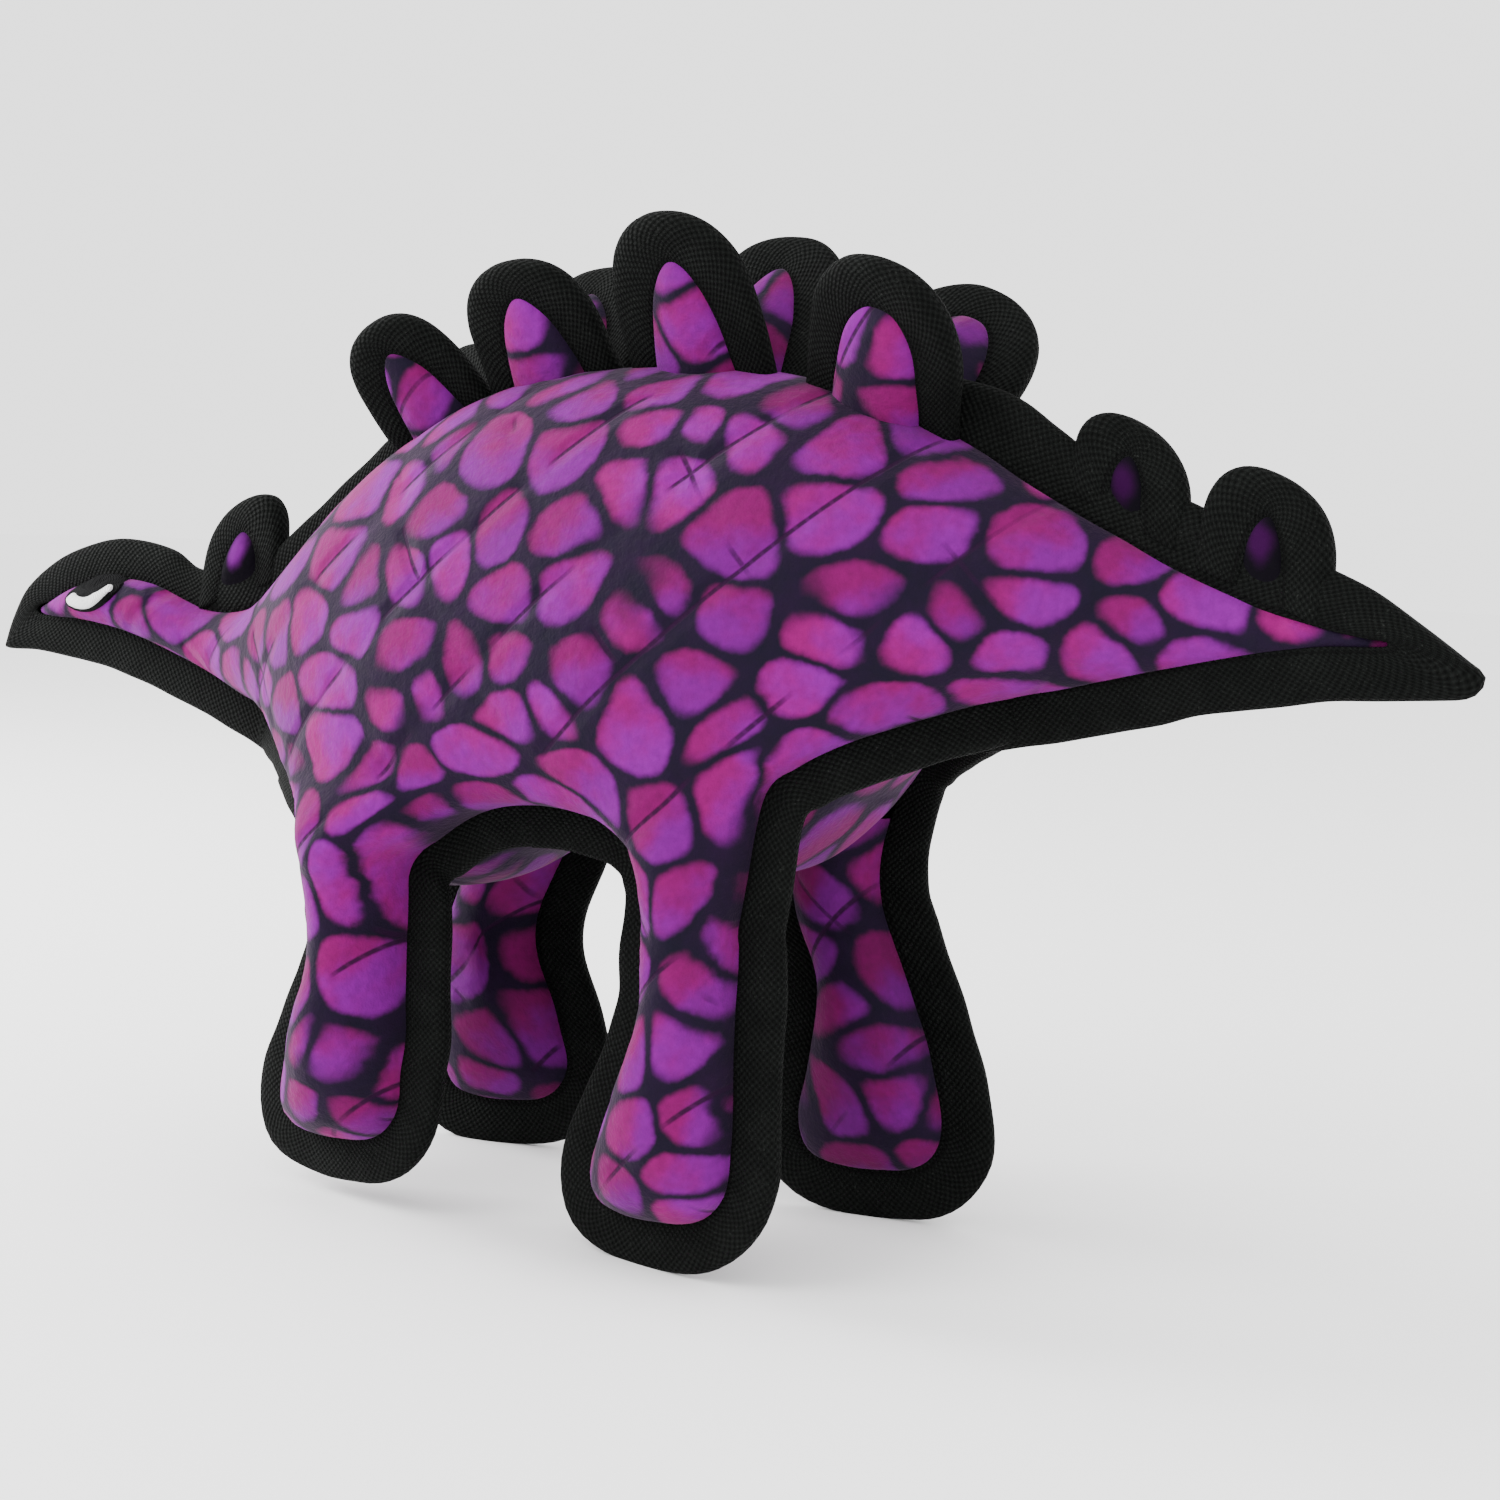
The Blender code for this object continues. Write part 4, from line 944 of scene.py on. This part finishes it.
def spotted_material(name, strength):
    """The small plates' cloth: a dark part of the print with one violet spot."""
    material, tree, shader = new_material(name)
    n = Nodes(tree)
    rest = n.read("rest")
    off = n.vector("MULTIPLY", n.read("print"), (1.15, 0.80, 0.0))
    wander = n.noise(rest, 160.0, 3.0)
    far = n.math("SQRT", n.vector("DOT_PRODUCT", off, off))
    spot = n.ramp(n.math("MULTIPLY_ADD", wander, 0.0035, far), 0.0078, 0.0032)
    violet = tuple(c * strength for c in (0.100, 0.004, 0.130)) + (1,)
    tree.links.new(n.mix(spot, (0.0025, 0.0018, 0.0035, 1), violet), shader.inputs["Base Color"])
    tuft = n.noise(rest, 420.0, 3.0)
    n.bump(shader, tuft, 0.5, 0.0007)
    tree.links.new(n.math("MULTIPLY_ADD", tuft, 0.16, 0.78), shader.inputs["Roughness"])
    shader.inputs["Specular IOR Level"].default_value = WEB_SHINE
    return material


def webbing_material():
    """Coarse black weave, with a row of stitches near the fold's mouth."""
    material, tree, shader = new_material("webbing_weave")
    n = Nodes(tree)
    uv = n.node("ShaderNodeUVMap", uv_map="cloth").outputs[0]
    rest = n.read("rest")
    uv = n.vector("ADD", uv, n.shifted(rest, 260.0, 1.0, 0.07))
    parts = n.node("ShaderNodeSeparateXYZ", {0: uv})
    u, v = parts.outputs[0], parts.outputs[1]
    warp = n.math("SINE", n.math("MULTIPLY", u, TURN * 5.0))
    weft = n.math("SINE", n.math("MULTIPLY", v, TURN * 5.6))
    weave = n.math("MULTIPLY_ADD", n.math("MULTIPLY", warp, weft), 0.5, 0.5)
    rib = n.math("ABSOLUTE", weft)
    fibre = n.noise(rest, 1300.0, 3.0)
    blotch = n.noise(rest, 130.0, 2.0)
    colour = n.mix(weave, (0.0011, 0.0012, 0.0011, 1), (0.0056, 0.0064, 0.0058, 1))
    colour = n.mix(n.ramp(fibre, 0.60, 0.80), colour, (0.0135, 0.0148, 0.0135, 1))
    colour = n.toned(colour, n.math("MULTIPLY_ADD", blotch, 0.9, 0.55))
    from_row = n.math("ABSOLUTE", n.math("SUBTRACT", v, 0.36))
    edge = n.ramp(from_row, 0.06, 0.02)
    colour = n.mix(n.math("MULTIPLY", edge, 0.7), colour, (0.002, 0.002, 0.002, 1))
    tree.links.new(colour, shader.inputs["Base Color"])
    height = n.math("ADD", n.math("MULTIPLY", weave, 0.9), n.math("MULTIPLY", fibre, 0.5))
    height = n.math("ADD", height, n.math("MULTIPLY", rib, 0.2))
    row = n.ramp(from_row, 0.07, 0.02)
    gap = n.ramp(n.math("SINE", n.math("MULTIPLY", u, TURN * 2.6)), -0.75, -0.35)
    height = n.math("ADD", height, n.math("MULTIPLY", n.math("MULTIPLY", row, gap), 1.2))
    height = n.math("SUBTRACT", height, n.math("MULTIPLY", row, 0.9))
    n.bump(shader, height, 0.8, 0.0009)
    tree.links.new(n.math("MULTIPLY_ADD", weave, -0.15, 0.86), shader.inputs["Roughness"])
    shader.inputs["Specular IOR Level"].default_value = WEB_SHINE
    shader.inputs["Sheen Weight"].default_value = 0.004
    return material


def thread_material(name, colour):
    """Satin stitches laid side by side."""
    material, tree, shader = new_material(name)
    n = Nodes(tree)
    place = n.node("ShaderNodeSeparateXYZ", {0: n.read("rest")})
    slanted = n.math("ADD", place.outputs[0], n.math("MULTIPLY", place.outputs[2], 0.3))
    rows = n.math("SINE", n.math("MULTIPLY", slanted, 9000.0))
    lit = n.math("MULTIPLY_ADD", rows, 0.5, 0.5)
    low = tuple(c * 0.62 for c in colour) + (1,)
    tree.links.new(n.mix(lit, low, (*colour, 1)), shader.inputs["Base Color"])
    n.bump(shader, lit, 0.6, 0.0004)
    tree.links.new(n.math("MULTIPLY_ADD", lit, -0.1, 0.8), shader.inputs["Roughness"])
    shader.inputs["Specular IOR Level"].default_value = 0.15 if colour[0] > 0.1 else 0.04
    return material


# Stage


def stage():
    floor, tree, shader = new_material("pale_floor")
    n = Nodes(tree)
    grain = n.node("ShaderNodeTexNoise", {"Scale": 3.0}).outputs["Fac"]
    pale = n.mix(grain, (0.955, 0.955, 0.955, 1), (0.975, 0.975, 0.975, 1))
    tree.links.new(pale, shader.inputs["Base Color"])
    shader.inputs["Roughness"].default_value = 0.9
    mesh = bpy.data.meshes.new("floor")
    corners = [(x * 6.0, y * 6.0, -0.0003) for x, y in ((-1, -1), (1, -1), (1, 1), (-1, 1))]
    mesh.from_pydata(corners, [], [(0, 1, 2, 3)])
    mesh.materials.append(floor)
    obj = bpy.data.objects.new("floor", mesh)
    bpy.context.scene.collection.objects.link(obj)
    world = bpy.data.worlds.new("soft_room")
    world.use_nodes = True
    light = world.node_tree.nodes["Background"].inputs
    light[0].default_value, light[1].default_value = (1.0, 1.0, 1.0, 1), 2.3
    bpy.context.scene.world = world
    for name, place, target, size, power in (
        ("key_light", (-0.55, -1.25, 1.25), (0, 0, 0.12), 0.9, 20.0),
        ("fill_light", (1.3, -1.0, 0.7), (0, 0, 0.12), 1.2, 4.0),
        ("side_light", (-1.45, -0.25, 0.75), (0, 0, 0.15), 0.7, 40.0),
    ):
        lamp = bpy.data.lights.new(name, "AREA")
        lamp.energy, lamp.size = power, size
        obj = bpy.data.objects.new(name, lamp)
        obj.location = place
        obj.rotation_euler = (Vector(target) - Vector(place)).to_track_quat("-Z", "Y").to_euler()
        bpy.context.scene.collection.objects.link(obj)


def camera():
    """Low, from the left and a little behind."""
    around, above, roll = (math.radians(v) for v in (31.0, 5.5, 2.4))
    level = math.cos(above)
    back = Vector((math.sin(around) * level, -math.cos(around) * level, math.sin(above)))
    right = Vector((math.cos(around), math.sin(around), 0))
    up = back.cross(right)
    right, up = right * math.cos(roll) + up * math.sin(roll), up * math.cos(roll) - right * math.sin(roll)
    lens = bpy.data.cameras.new("camera")
    lens.sensor_width, lens.lens = 36.0, 62.4
    lens.clip_start = 0.02
    obj = bpy.data.objects.new("camera", lens)
    obj.matrix_world = Matrix((
        (right.x, up.x, back.x, 0.427),
        (right.y, up.y, back.y, -0.634),
        (right.z, up.z, back.z, 0.212),
        (0, 0, 0, 1),
    ))
    bpy.context.scene.collection.objects.link(obj)
    bpy.context.scene.camera = obj


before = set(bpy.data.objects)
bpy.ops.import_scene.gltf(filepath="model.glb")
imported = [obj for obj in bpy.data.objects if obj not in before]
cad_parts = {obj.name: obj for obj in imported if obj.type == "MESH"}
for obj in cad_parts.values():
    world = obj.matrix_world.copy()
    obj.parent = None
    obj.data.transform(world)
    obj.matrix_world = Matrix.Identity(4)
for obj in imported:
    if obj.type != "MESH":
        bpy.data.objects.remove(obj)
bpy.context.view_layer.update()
stage()
camera()
cloth = fleece_material("printed_fleece")
# A darker copy of the print for the belly, the legs' inner panels and the right row of plates: painted shade.
painted_shade_cloth = fleece_material("printed_fleece_painted_shade", shade=0.75)
web = webbing_material()
for side_sign in SIDES.values():
    lying = side_panel(side_sign, cloth)
    for leg_place in LEG_X:
        inner_leg(leg_place, side_sign, painted_shade_cloth)
    black = thread_material("black_thread", (0.0016, 0.0016, 0.002))
    white = thread_material("white_thread", (0.85, 0.85, 0.85))
    eye(side_sign, lying, black, white)
belly(painted_shade_cloth)
seam_strips(web)
back_plates(web, {"left": cloth, "right": painted_shade_cloth})
small_plates(web)
bulb = thread_material("squeaker_plastic", (0.75, 0.75, 0.76))
for node in ("squeaker_bulb", "squeaker_reed"):
    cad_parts[node].material_slots[0].material = bulb
